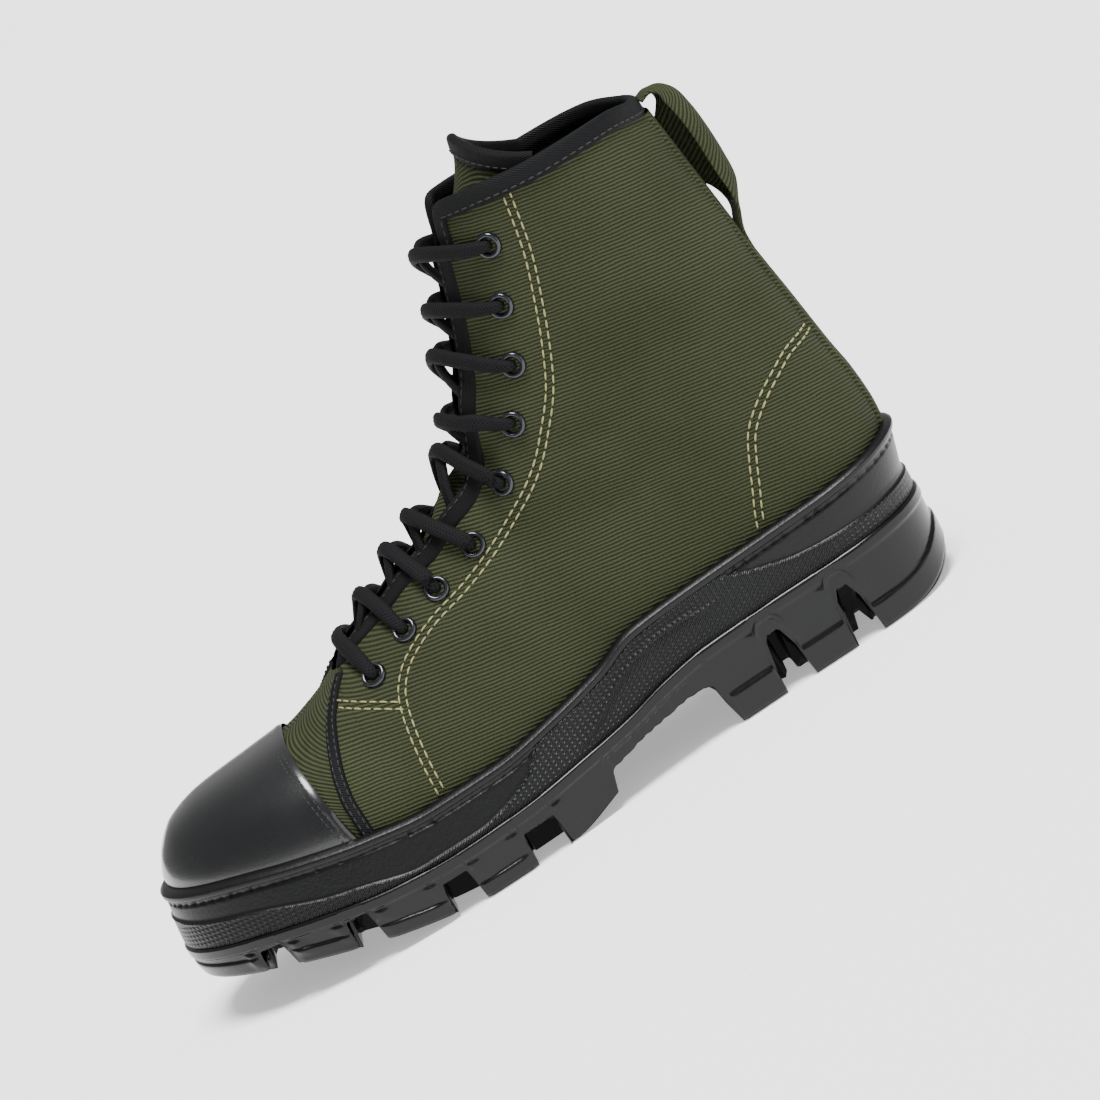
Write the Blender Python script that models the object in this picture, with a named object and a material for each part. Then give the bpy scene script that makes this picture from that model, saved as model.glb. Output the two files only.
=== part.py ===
# Left jungle boot, standing on its sole. +X toe, +Y outer side, +Z up, metres.
# The origin is the middle of the heel's flat tread, on the floor.
import bmesh
import bpy
import numpy as np
from mathutils import Vector

# Sizes of the last and the shaft
LAST_LENGTH = 0.300      # back of the upper to its toe
HEEL_BACK = -0.058       # back of the upper, from the origin
SHAFT_HEIGHT = 0.200     # top of the shaft from the floor; heights of the upper are levels of it
SOLE_HEIGHT = 0.050      # heights of the sole are shares of this
BALL_HALF = 0.048        # half widths are shares of this
TOE_SWING = 0.008        # the toe points this far inward
TOE_ROUND = 0.075
BACK_ROUND = 0.037
WIDEST_ABOVE_BASE = 0.005
SOLE_LEVEL = 0.25        # the tables' heights have the sole's top here and the shaft's at 1
SHIN_AXIS = 0.1767       # middle of the shaft's rounded front, share along the last
SHIN_RISE = 0.12         # the shin rises by this share of the shaft over the distance from it
THROAT_END = 0.700       # share along the last
THROAT_TURN = 0.035      # the throat's round end, share along the last
BACK_FADE = 0.070        # the shaft's lean dies out this far from the heel
COLLAR_ROUND = 0.0035    # corner between the facing and the collar

# Layers
WALL = 0.0020
GAP = 0.0003
TAPE = 0.0008
FOLD_GAP = 0.0005        # tape folded over an edge
TAPE_WIDTH = 0.0048
OVERLAY = 0.0011
TONGUE_WALL = 0.0024
TONGUE_CLEAR = 0.0010    # tongue under the facing tape
INSOLE_WALL = 0.0030
RAND_LIP = 0.0046        # rand beyond the upper at its lip
RAND_FOOT = 0.0080       # rand beyond the upper at the parting line
SOLE_STEP = 0.0005       # outsole beyond the rand
CHANNEL_OUT = 0.0215     # channels under the tread, from the middle
CHANNEL_DEPTH = 0.0055

# Fittings
EYELET_OUTER = 0.0047
EYELET_BORE = 0.00265
EYELET_BARREL = 0.00295
EYELET_HOLE = 0.0033
LACE_WIDTH = 0.0050
LACE_THICK = 0.0024
LACE_REST = 0.0037       # the cord's middle over the facing, clear of tape and eyelets
LOOP_WIDTH = 0.0150
LOOP_TAPE = 0.0016
LOOP_DEPTH = 0.0116      # the loop stands this far off the backstay
LOOP_CUP = 0.0040        # the loop's edges curl this far toward the boot
BACKSTAY_HALF = 0.0095
PATCH_MIDDLE = 0.4267    # middle of the half moon, share along the last
PATCH_FOOT = 0.76        # its straight side's height, share of the sole height
PATCH_REACH = 0.0485
TONGUE_HALF = 0.020      # half width of the tongue by the toe
TONGUE_SPREAD = 0.006    # and what it gains up the shaft
TONGUE_LEAN = 0.015      # its top leans this far back
TONGUE_DROP = 0.009      # its top's corners hang this far below the middle
CUT_REACH = 0.10         # cutters reach past the boot's sides

# Along is a share of the last length. Lateral and medial are shares of the ball's half width,
# base, lip and parting of the sole height, foot of the rand's foot.
SECTIONS = {
    "columns": ("along", "lateral", "medial", "base", "lip", "parting", "foot"),
    "rows": (
        (0.00, 0.70, 0.70, 0.80, 1.13, 0.62, 0.45),
        (0.06, 0.70, 0.70, 0.80, 1.09, 0.62, 0.48),
        (0.20, 0.70, 0.70, 0.79, 1.05, 0.62, 0.60),
        (0.32, 0.73, 0.67, 0.78, 1.03, 0.61, 0.66),
        (0.38, 0.77, 0.65, 0.76, 1.01, 0.57, 0.70),
        (0.44, 0.82, 0.67, 0.71, 0.90, 0.50, 0.76),
        (0.50, 0.88, 0.70, 0.66, 0.83, 0.46, 0.84),
        (0.60, 0.97, 0.81, 0.60, 0.76, 0.41, 0.95),
        (0.68, 1.01, 0.89, 0.59, 0.76, 0.40, 0.98),
        (0.76, 1.02, 0.92, 0.62, 0.82, 0.43, 1.00),
        (0.84, 1.00, 0.93, 0.68, 0.91, 0.50, 1.00),
        (0.92, 0.96, 0.90, 0.75, 1.00, 0.57, 1.00),
        (1.00, 0.91, 0.86, 0.81, 1.06, 0.62, 1.00),
    ),
}

# Top line of the closed shape over the foot, height as a level of the shaft.
RIDGE = {
    "columns": ("along", "height"),
    "rows": (
        (0.380, 0.828), (0.398, 0.764), (0.417, 0.696), (0.440, 0.648), (0.478, 0.620),
        (0.527, 0.565), (0.567, 0.539), (0.600, 0.510), (0.653, 0.475), (0.683, 0.451),
        (0.710, 0.427), (0.748, 0.402), (0.788, 0.384), (0.838, 0.377), (0.913, 0.369),
        (0.957, 0.351), (0.984, 0.317), (0.996, 0.287), (1.000, 0.275),
    ),
}

# Height is a level of the shaft, half a share of the ball's half width, back of the last length.
SHAFT = {
    "columns": ("height", "half", "back"),
    "rows": (
        (0.20, 0.70, 0.014),
        (0.26, 0.70, 0.001),
        (0.33, 0.69, -0.004),
        (0.39, 0.68, -0.002),
        (0.44, 0.68, 0.003),
        (0.56, 0.69, 0.012),
        (0.66, 0.71, 0.020),
        (0.80, 0.75, 0.029),
        (1.00, 0.79, 0.042),
    ),
}

# Collar height by share along the last, and half of the throat's gap.
COLLAR = {
    "columns": ("along", "height"),
    "rows": ((0.04, 0.990), (0.09, 1.010), (0.20, 1.018), (0.26, 1.028), (0.32, 1.035)),
}
THROAT = {
    "columns": ("along", "half_gap"),
    "rows": ((0.30, 0.365), (0.42, 0.355), (0.55, 0.30), (0.66, 0.26)),
}

# Tread line under the forefoot and heel, height as a share of the sole height.
GROUND = {
    "columns": ("along", "height"),
    "rows": (
        (-0.02, 0.26), (0.000, 0.19), (0.015, 0.12), (0.032, 0.06), (0.056, 0.015), (0.080, 0.0),
        (0.670, 0.0), (0.700, 0.015), (0.783, 0.10), (0.843, 0.18), (0.890, 0.244),
        (0.943, 0.31), (1.000, 0.37),
    ),
}

# Outer face of the rand from the parting line (0) to the lip (1), as a share of its local depth.
RAND_FACE = {
    "columns": ("level", "depth"),
    "rows": (
        (0.00, 1.00), (0.34, 1.00), (0.38, 0.90), (0.66, 0.88), (0.71, 0.76),
        (0.76, 0.76), (0.80, 0.93), (0.90, 1.00), (0.97, 0.92), (1.00, 0.66),
    ),
}

# Eyelets from the toe up, along and height of each centre.
EYELETS = {
    "columns": ("along", "height"),
    "rows": (
        (0.655, 0.411), (0.597, 0.446), (0.540, 0.474), (0.477, 0.505), (0.410, 0.570),
        (0.363, 0.648), (0.326, 0.736), (0.301, 0.834), (0.276, 0.934),
    ),
}

# Edge notches of the tread: start and end along, roof as a share of the sole height, run inward.
NOTCHES = {
    "columns": ("start", "end", "roof", "flare"),
    "rows": (
        (0.903, 0.927, 0.46, 0.000), (0.803, 0.827, 0.38, 0.000), (0.684, 0.715, 0.26, 0.000),
        (0.570, 0.608, 0.25, 0.000), (0.240, 0.247, 0.43, 0.004), (0.140, 0.147, 0.43, 0.004),
    ),
}

# The loop's line up the backstay, height of the shaft and stand as a share of its depth.
LOOP_LINE = {
    "columns": ("height", "stand"),
    "rows": (
        (0.705, 0.00), (0.735, 0.22), (0.785, 0.74), (0.830, 0.88), (0.885, 0.97),
        (0.945, 0.96), (0.974, 0.80), (0.984, 0.45), (0.978, 0.03),
    ),
}

# Front edge of the quarter, seen from the side.
QUARTER_EDGE = {
    "columns": ("along", "height"),
    "rows": (
        (0.757, 0.205), (0.757, 0.255), (0.752, 0.300), (0.742, 0.340), (0.727, 0.379),
        (0.708, 0.410), (0.690, 0.430),
    ),
}


def through(xs, ys, at):
    # Smooth curve through the rows that never overshoots them.
    step = np.diff(xs)
    slope = np.diff(ys) / step
    lean = np.zeros(len(xs))
    same = slope[:-1] * slope[1:] > 0
    left = np.where(same, slope[:-1], 1.0)
    right = np.where(same, slope[1:], 1.0)
    first = 2 * step[1:] + step[:-1]
    second = step[1:] + 2 * step[:-1]
    lean[1:-1] = np.where(same, (first + second) / (first / left + second / right), 0.0)
    lean[0] = slope[0]
    lean[-1] = slope[-1]
    at = np.clip(at, xs[0], xs[-1])
    i = np.clip(np.searchsorted(xs, at, side="right") - 1, 0, len(xs) - 2)
    t = (at - xs[i]) / step[i]
    start = ys[i] * (1 + 2 * t) * (1 - t) ** 2 + lean[i] * step[i] * t * (1 - t) ** 2
    end = ys[i + 1] * t * t * (3 - 2 * t) + lean[i + 1] * step[i] * t * t * (t - 1)
    return start + end


def look(table, column, at):
    rows = np.array(table["rows"], float)
    return through(rows[:, 0], rows[:, table["columns"].index(column)], np.asarray(at, float))


def ease(t):
    t = np.clip(t, 0.0, 1.0)
    return t * t * (3 - 2 * t)


def share(x):
    return (x - HEEL_BACK) / LAST_LENGTH


def place_x(along):
    return HEEL_BACK + LAST_LENGTH * np.asarray(along, float)


def sole(column, x):
    return SOLE_HEIGHT * look(SECTIONS, column, share(x))


def ground(x):
    return SOLE_HEIGHT * look(GROUND, "height", share(x))


def height_of(level):
    # From a level of the tables to a height: the sole's top is at SOLE_LEVEL, the shaft's at 1.
    above = (level - SOLE_LEVEL) / (1 - SOLE_LEVEL)
    return SOLE_HEIGHT + (SHAFT_HEIGHT - SOLE_HEIGHT) * above


def level_of(z):
    above = (z - SOLE_HEIGHT) / (SHAFT_HEIGHT - SOLE_HEIGHT)
    return SOLE_LEVEL + (1 - SOLE_LEVEL) * above


def back_of(z):
    return HEEL_BACK + LAST_LENGTH * look(SHAFT, "back", level_of(z))


def middle(x):
    return -TOE_SWING * ease((share(x) - 0.50) / 0.50)


def widest(x):
    return sole("base", x) + WIDEST_ABOVE_BASE


def ridge(x):
    # Shin: rise / (along - axis) above the widest line. Foot: the table. They meet at 0.39.
    along = share(x)
    shin = widest(x) + SHAFT_HEIGHT * SHIN_RISE / np.maximum(along - SHIN_AXIS, 3e-4)
    foot = height_of(look(RIDGE, "height", along))
    return shin + (foot - shin) * ease((along - 0.375) / 0.03)


def power(x):
    along = share(x)
    return 2.0 - 0.18 * ease((along - 0.38) / 0.10) + 0.68 * ease((along - 0.62) / 0.20)


def round_end(distance, radius, sharp):
    t = np.clip(distance / radius, 0.0, 1.0)
    return (1 - (1 - t) ** sharp) ** (1 / sharp)


def full_half(x, z, side):
    # Half width before the arch over the foot: the last's outline, blended into the shaft.
    along = share(x)
    outline = np.where(side > 0, look(SECTIONS, "lateral", along), look(SECTIONS, "medial", along))
    shaft = look(SHAFT, "half", level_of(z))
    mix = ease((level_of(z) - 0.275) / 0.225) * (1 - ease((along - 0.46) / 0.22))
    width = BALL_HALF * (outline + (shaft - outline) * mix)
    toe = round_end(place_x(1.0) - x, TOE_ROUND, 2.2)
    back = round_end(x - back_of(z), BACK_ROUND, 2.1)
    return width * toe * back


def half(x, z, side):
    # y = W (1 - t^p)^(1/p), t from 0 at the widest line to 1 at the ridge.
    t = np.clip((z - widest(x)) / (ridge(x) - widest(x)), 0.0, 1.0)
    p = power(x)
    return full_half(x, z, side) * (1 - t ** p) ** (1 / p)


def height_at(x, y, side):
    # The height where the side is y from the middle.
    z = ridge(x)
    p = power(x)
    for _ in range(6):
        z = np.minimum(z, 1.15 * SHAFT_HEIGHT)
        width = np.maximum(full_half(x, z, side), 1e-6)
        t = (1 - np.clip(y / width, 0.0, 1.0) ** p) ** (1 / p)
        z = widest(x) + (ridge(x) - widest(x)) * t
    return z


def half_gap(along):
    gap = BALL_HALF * look(THROAT, "half_gap", along)
    t = np.clip(1 - (THROAT_END - along) / THROAT_TURN, 0.0, 1.0)
    return gap * np.sqrt(1 - t * t)


def soft_min(a, b, radius):
    low = np.minimum(a, b)
    return low - radius * np.log1p(np.exp(-np.abs(a - b) / radius))


def collar(x):
    return height_of(look(COLLAR, "height", share(x)))


def top_line(x, side, inset):
    # Top edge of the upper: the collar, the facing's edge, then the ridge in front of the throat.
    edge = height_at(x, half_gap(share(x)) + inset, side)
    edge = np.where(share(x) < SHIN_AXIS + 0.05, 1.0, edge)
    return soft_min(edge, collar(x) - inset, COLLAR_ROUND)


def rib_stations():
    heel = BACK_ROUND * (np.arange(6) / 6) ** 2 + HEEL_BACK
    runs = [heel]
    for start, end, count in ((0.125, 0.25, 3), (0.25, 0.44, 11), (0.44, 0.66, 7), (0.66, 0.70, 3)):
        runs.append(place_x(np.linspace(start, end, count, endpoint=False)))
    runs.append(place_x(np.linspace(0.70, 0.80, 2, endpoint=False)))
    runs.append(place_x(1.0 - 0.20 * (np.arange(8, -1, -1) / 8) ** 2))
    return np.concatenate(runs)


def side_grid(side, rows):
    stations = rib_stations()
    columns = []
    for station in stations:
        fade = 1 - ease((station - HEEL_BACK) / BACK_FADE)

        def rib(z):
            return station + (back_of(z) - HEEL_BACK) * fade

        x = rib(SOLE_HEIGHT)
        base = sole("base", x)
        lip = sole("lip", x)
        open_top = share(station) < THROAT_END
        tape = top_line(x, side, TAPE_WIDTH)
        top = top_line(x, side, 0.0)
        if not open_top:
            top = ridge(x)
            tape = height_at(x, TAPE_WIDTH, side)
        tape = np.clip(tape, lip + 0.0002, top - 1e-5)
        span = ridge(x) - widest(x)
        first = np.arcsin(np.clip((lip - widest(x)) / span, 0, 1))
        last = np.arcsin(np.clip((tape - widest(x)) / span, 0, 1))
        middle_rows = widest(x) + span * np.sin(np.linspace(first, last, rows))
        z = np.concatenate(([base], middle_rows, [top]))
        z[1] = min(lip, top)
        xs = rib(z)
        xs = np.minimum(xs, place_x(1.0))
        y = half(xs, z, side)
        if not open_top:
            y[-1] = 0.0
        if station == stations[0]:
            y[:] = 0.0
        columns.append(np.stack([xs, middle(xs) + side * y, z], axis=1))
    return np.array(columns)


def grid_faces(count, rows, flip):
    i, j = np.meshgrid(np.arange(count - 1), np.arange(rows - 1), indexing="ij")
    a = (i * rows + j).ravel()
    quads = np.stack([a, a + rows, a + rows + 1, a + 1], axis=1)
    return quads[:, ::-1] if flip else quads


def weld(points, faces, distance=0.00045):
    mesh = bmesh.new()
    verts = [mesh.verts.new(p) for p in points]
    for face in faces:
        mesh.faces.new([verts[k] for k in face])
    bmesh.ops.remove_doubles(mesh, verts=mesh.verts, dist=distance)
    bmesh.ops.dissolve_degenerate(mesh, edges=mesh.edges, dist=1e-5)
    bmesh.ops.triangulate(mesh, faces=mesh.faces)
    mesh.verts.ensure_lookup_table()
    return mesh


def arrays_of(mesh):
    mesh.normal_update()
    mesh.verts.index_update()
    points = np.array([v.co[:] for v in mesh.verts])
    normals = np.array([v.normal[:] for v in mesh.verts])
    faces = [[v.index for v in f.verts] for f in mesh.faces]
    return points, normals, faces


def material(name, colour, rough, metal=0.0):
    made = bpy.data.materials.new(name)
    made.use_nodes = True
    shader = made.node_tree.nodes["Principled BSDF"]
    shader.inputs["Base Color"].default_value = (*colour, 1.0)
    shader.inputs["Roughness"].default_value = rough
    shader.inputs["Metallic"].default_value = metal
    return made


LOOKS = {
    "canvas": ((0.055, 0.066, 0.030), 0.90, 0.0),
    "black_tape": ((0.016, 0.017, 0.020), 0.75, 0.0),
    "toe_leather": ((0.006, 0.007, 0.009), 0.25, 0.0),
    "patch_leather": ((0.016, 0.020, 0.025), 0.45, 0.0),
    "rand_rubber": ((0.024, 0.026, 0.029), 0.60, 0.0),
    "tread_rubber": ((0.018, 0.019, 0.022), 0.50, 0.0),
    "insole_fabric": ((0.045, 0.047, 0.040), 0.90, 0.0),
    "enamelled_metal": ((0.010, 0.011, 0.014), 0.30, 0.8),
    "lace_cord": ((0.012, 0.012, 0.014), 0.80, 0.0),
}


def add_object(name, points, faces, look_name):
    data = bpy.data.meshes.new(name)
    data.from_pydata([tuple(p) for p in points], [], [tuple(f) for f in faces])
    data.update()
    made = bpy.data.objects.new(name, data)
    bpy.context.scene.collection.objects.link(made)
    if look_name:
        colour, rough, metal = LOOKS[look_name]
        made.data.materials.append(material(name + "_" + look_name, colour, rough, metal))
    return made


def shell(name, surface, lift, thick, look_name):
    # Two skins along the surface's own normals, joined round every open edge.
    points, normals, faces = surface
    count = len(points)
    body = np.concatenate([points + normals * lift, points + normals * (lift + thick)])
    edges = {}
    for face in faces:
        for a, b in zip(face, face[1:] + face[:1]):
            edges[(a, b)] = True
    rims = [(a, b) for a, b in edges if (b, a) not in edges]
    solid = [list(reversed(f)) for f in faces]
    solid += [[k + count for k in f] for f in faces]
    solid += [[a, b, b + count, a + count] for a, b in rims]
    return add_object(name, body, solid, look_name)


def carve(made, tool, operation="DIFFERENCE"):
    step = made.modifiers.new("cut", "BOOLEAN")
    step.operation = operation
    step.solver = "MANIFOLD"
    step.object = tool
    bpy.context.view_layer.update()
    graph = bpy.context.evaluated_depsgraph_get()
    data = bpy.data.meshes.new_from_object(made.evaluated_get(graph))
    made.modifiers.clear()
    made.data = data
    bpy.data.objects.remove(tool)


def prism(outline, y_from, y_to):
    # Closed outline in x and z, drawn out along y.
    count = len(outline)
    area = sum(a[0] * b[1] - b[0] * a[1] for a, b in zip(outline, outline[1:] + outline[:1]))
    if area < 0:
        outline = outline[::-1]
    points = [(x, y_from, z) for x, z in outline] + [(x, y_to, z) for x, z in outline]
    faces = [list(range(count)), list(range(2 * count - 1, count - 1, -1))]
    faces += [[k, k + count, (k + 1) % count + count, (k + 1) % count] for k in range(count)]
    return points, faces


def tool_of(pieces):
    points = []
    faces = []
    for piece_points, piece_faces in pieces:
        shift = len(points)
        points += [tuple(p) for p in piece_points]
        faces += [[k + shift for k in f] for f in piece_faces]
    return add_object("tool", points, faces, None)


def sweep(path, ups, section):
    # A section of (across, up) offsets, one for all or one for each point, carried along a path.
    path = np.array(path)
    ahead = np.gradient(path, axis=0)
    ahead /= np.linalg.norm(ahead, axis=1, keepdims=True)
    ups = np.array(ups)
    across = np.cross(ahead, ups)
    across /= np.linalg.norm(across, axis=1, keepdims=True)
    ups = np.cross(across, ahead)
    section = np.broadcast_to(np.array(section), (len(path), *np.shape(section)[-2:]))
    rings = path[:, None] + across[:, None] * section[..., :1] + ups[:, None] * section[..., 1:]
    count, sides = rings.shape[:2]
    faces = []
    for i in range(count - 1):
        for k in range(sides):
            a = i * sides + k
            b = i * sides + (k + 1) % sides
            faces.append([a, b, b + sides, a + sides])
    faces.append(list(range(sides))[::-1])
    faces.append([(count - 1) * sides + k for k in range(sides)])
    return rings.reshape(-1, 3), faces


def outward(made):
    mesh = bmesh.new()
    mesh.from_mesh(made.data)
    bmesh.ops.recalc_face_normals(mesh, faces=mesh.faces)
    if mesh.calc_volume(signed=True) < 0:
        bmesh.ops.reverse_faces(mesh, faces=mesh.faces)
    mesh.to_mesh(made.data)
    mesh.free()
    return made


for old in list(bpy.data.objects):
    bpy.data.objects.remove(old)

# Upper: two sides of ribs, welded along the back seam and the ridge.
ROWS = 8
lateral_grid = side_grid(1, ROWS)
medial_grid = side_grid(-1, ROWS)
count, rows = lateral_grid.shape[:2]
points = np.concatenate([lateral_grid.reshape(-1, 3), medial_grid.reshape(-1, 3)])
faces = np.concatenate([grid_faces(count, rows, True), grid_faces(count, rows, False) + count * rows])
skin = weld(points, faces)
upper_surface = arrays_of(skin)
upper = shell("upper", upper_surface, -WALL, WALL, "canvas")
outward(upper)


def normal_at(x, z, side):
    step = 0.001
    dx = (half(x + step, z, side) - half(x - step, z, side)) / (2 * step)
    dz = (half(x, z + step, side) - half(x, z - step, side)) / (2 * step)
    n = np.array([-dx, side, -dz], float)
    return n / np.linalg.norm(n)


def eyelet_height(x, height, side):
    # As far down the side from its own facing's edge as on the outer side.
    drop = np.linspace(0.0, 0.035, 71)

    def run_down(which):
        z = top_line(x, which, 0.0) - drop
        y = half(x, z, which)
        return np.concatenate([[0], np.cumsum(np.hypot(np.diff(y), np.diff(z)))])

    outer = height_of(height)
    if side > 0:
        return outer
    run = np.interp(top_line(x, 1, 0.0) - outer, drop, run_down(1))
    return float(top_line(x, side, 0.0) - np.interp(run, run_down(side), drop))


def eyelet_frame(along, height, side):
    x = float(place_x(along))
    z = eyelet_height(x, height, side)
    centre = np.array([x, float(middle(x) + side * half(x, z, side)), z])
    return centre, normal_at(x, z, side)


def turned(profile, centre, axis, sides):
    # Profile of (radius, height) points turned about the axis.
    turn = Vector((0, 0, 1)).rotation_difference(Vector(axis)).to_matrix()
    angle = np.arange(sides) * 2 * np.pi / sides
    rings = []
    for radius, height in profile:
        ring = np.stack([radius * np.cos(angle), radius * np.sin(angle), np.full(sides, height)], axis=1)
        rings.append(ring @ np.array(turn).T + centre)
    return np.array(rings)


def rod(centre, axis, radius, low, high, sides):
    rings = turned(((radius, low), (radius, high)), centre, axis, sides)
    faces = [[k, (k + 1) % sides, (k + 1) % sides + sides, k + sides] for k in range(sides)]
    faces += [list(range(sides))[::-1], [sides + k for k in range(sides)]]
    return rings.reshape(-1, 3), faces


holes = []
for side in (1, -1):
    for along, height in EYELETS["rows"]:
        centre, axis = eyelet_frame(along, height, side)
        holes.append(rod(centre, axis, EYELET_HOLE, -0.006, 0.006, 8))
carve(upper, tool_of(holes))

for side, side_name in ((1, "outer"), (-1, "inner")):
    for number, (along, height) in enumerate(EYELETS["rows"], 1):
        centre, axis = eyelet_frame(along, height, side)
        profile = (
            (EYELET_BORE, 0.0012), (0.94 * EYELET_OUTER, 0.0012), (EYELET_OUTER, 0.0007),
            (EYELET_OUTER, 0.0004), (EYELET_BARREL, 0.0004), (EYELET_BARREL, -0.0026),
            (EYELET_BORE, -0.0026),
        )
        rings = turned(profile, centre, axis, 8)
        faces = []
        for i in range(len(profile)):
            for k in range(8):
                a = i * 8 + k
                b = i * 8 + (k + 1) % 8
                far = ((i + 1) % len(profile)) * 8
                faces.append([a, b, far + (k + 1) % 8, far + k])
        name = "eyelet_" + side_name + "_" + str(number)
        outward(add_object(name, rings.reshape(-1, 3), faces, "enamelled_metal"))


# Rings round the foot share the upper's ribs, outer side forward and inner side back.
def loop_of(row):
    return np.concatenate([lateral_grid[:, row], medial_grid[-2:0:-1, row]])


base_loop = loop_of(0)
lip_loop = loop_of(1)
ahead = np.roll(base_loop, -1, axis=0) - np.roll(base_loop, 1, axis=0)
loop_out = np.stack([-ahead[:, 1], ahead[:, 0], np.zeros(len(ahead))], axis=1)
loop_out /= np.linalg.norm(loop_out, axis=1, keepdims=True)
loop_out[0] = (-1, 0, 0)
loop_out[count - 1] = (1, 0, 0)
around = len(base_loop)
foot = RAND_FOOT * look(SECTIONS, "foot", share(base_loop[:, 0]))


def ring_at(z, out):
    rise = np.clip((z - base_loop[:, 2]) / (lip_loop[:, 2] - base_loop[:, 2]), 0, 1)[:, None]
    ring = base_loop + (lip_loop - base_loop) * rise + loop_out * np.reshape(out, (-1, 1))
    ring[:, 2] = z
    return ring


def stack_of(rings, floor_top, look_name, name):
    # Rings from the bottom up the outside, then the two flat fans across.
    points = np.concatenate(rings)
    faces = []
    for i in range(len(rings) - 1):
        for k in range(around):
            a = i * around + k
            b = i * around + (k + 1) % around
            faces.append([a, b, b + around, a + around])
    for start, flip in ((0, True), (floor_top * around, False)):
        for k in range(count - 1):
            left = start + k
            ahead_left = start + k + 1
            right = start + (around - k) % around
            ahead_right = start + around - k - 1
            ring = [left, ahead_left, ahead_right, right]
            ring = list(dict.fromkeys(ring))
            faces.append(ring[::-1] if flip else ring)
    return outward(add_object(name, points, faces, look_name))


parting = sole("parting", base_loop[:, 0])
lip = lip_loop[:, 2]
rings = []
for level, depth in RAND_FACE["rows"]:
    z = parting + 0.00015 + (lip - parting - 0.00015) * level
    local = foot + (RAND_LIP - foot) * level
    rings.append(ring_at(z, local * depth))
rings.append(ring_at(lip, np.full(around, GAP)))
rings.append(ring_at(base_loop[:, 2] - GAP, np.full(around, GAP)))
stack_of(rings, len(rings) - 1, "rand_rubber", "rand")

inset = WALL + 2 * GAP
rings = [
    ring_at(base_loop[:, 2], np.full(around, -inset)),
    ring_at(base_loop[:, 2] + INSOLE_WALL, np.full(around, -inset)),
]
stack_of(rings, 1, "insole_fabric", "insole")

tread = ring_at(parting, foot - 0.0020)
low = ground(tread[:, 0])
rings = [
    ring_at(low, foot - 0.0026),
    ring_at(low + 0.0012, foot - 0.0014),
    ring_at(parting - 0.0050, foot + SOLE_STEP - 0.0004),
    ring_at(parting - 0.0040, foot + SOLE_STEP),
    ring_at(parting - 0.00015, foot + SOLE_STEP),
]
outsole = stack_of(rings, 4, "tread_rubber", "outsole")

# Arch under the waist, from the heel's breast to the back of the ball.
arch = [
    (0.323, -0.2), (0.334, 0.34), (0.345, 0.365), (0.370, 0.365), (0.435, 0.32), (0.485, 0.26),
    (0.493, 0.11), (0.530, 0.04), (0.555, 0.0), (0.555, -0.2),
]
arch = [(float(place_x(a)), SOLE_HEIGHT * h) for a, h in arch]
carve(outsole, tool_of([prism(arch, -CUT_REACH, CUT_REACH)]))


def edge_y(x, side):
    out = full_half(x, 0.8 * SOLE_HEIGHT, side) + RAND_FOOT * look(SECTIONS, "foot", share(x))
    return float(middle(x) + side * out)


notches = []
for side in (1, -1):
    for start, end, roof, flare in NOTCHES["rows"]:
        a = float(place_x(start))
        b = float(place_x(end))
        top = SOLE_HEIGHT * roof
        inner = edge_y((a + b) / 2, side) - side * 0.020
        outer = edge_y((a + b) / 2, side) + side * 0.015
        shape = [
            (a - flare, -0.01), (a - flare, 0.0), (a, top - 0.002), (a + 0.0015, top),
            (b - 0.0015, top), (b, top - 0.002), (b + flare, 0.0), (b + flare, -0.01),
        ]
        notches.append(prism(shape, min(inner, outer), max(inner, outer)))
carve(outsole, tool_of(notches))

# Channels between the edge lugs and the middle lugs, and the cross grooves.
channels = []
for side in (1, -1):
    points = []
    faces = []
    for along in np.linspace(0.55, 0.93, 6):
        x = float(place_x(along))
        y = float(middle(x)) + side * CHANNEL_OUT * (1 - 2.7 * max(along - 0.8, 0))
        roof = float(ground(x)) + CHANNEL_DEPTH
        for across, z in ((-0.0025, -0.01), (-0.0025, roof), (0.0025, roof), (0.0025, -0.01)):
            points.append((x, y + across, z))
    for i in range(5):
        for k in range(4):
            faces.append([4 * i + k, 4 * i + (k + 1) % 4, 4 * i + 4 + (k + 1) % 4, 4 * i + 4 + k])
    faces += [[0, 3, 2, 1], [20, 21, 22, 23]]
    channels.append((points, [f[::-1] for f in faces]))
carve(outsole, outward(tool_of(channels)))
grooves = []
for along in (0.1435, 0.2435, 0.59, 0.70, 0.765, 0.865):
    x = float(place_x(along))
    roof = float(ground(x)) + CHANNEL_DEPTH
    shape = [(x - 0.002, -0.01), (x - 0.0016, roof), (x + 0.0016, roof), (x + 0.002, -0.01)]
    far = CHANNEL_OUT + 0.002
    grooves.append(prism(shape, float(middle(x)) - far, float(middle(x)) + far))
carve(outsole, outward(tool_of(grooves)))
ribs = []
for side in (1, -1):
    for along in np.linspace(0.365, 0.475, 8):
        x = float(place_x(along))
        high = float(sole("parting", x)) - 0.0055
        shape = [(x - 0.0011, 0.0), (x - 0.0011, high), (x + 0.0011, high), (x + 0.0011, 0.0)]
        inner = edge_y(x, side) - side * 0.0015
        outer = edge_y(x, side) + side * 0.010
        ribs.append(prism(shape, min(inner, outer), max(inner, outer)))
carve(outsole, tool_of(ribs))
outward(outsole)


# Overlays are cut from the upper's own facets, above the rand's lip.
def overlay_surface():
    points, normals, faces = upper_surface
    points = points.copy()
    lip_height = sole("lip", points[:, 0])
    keep = [f for f in faces if all(points[k, 2] > lip_height[k] - 2e-4 for k in f)]
    used = sorted({k for f in keep for k in f})
    new = {k: i for i, k in enumerate(used)}
    low = np.abs(points[:, 2] - lip_height) < 4e-4
    points[low, 2] += 0.0006
    return points[used], normals[used], [[new[k] for k in f] for f in keep]


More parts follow.
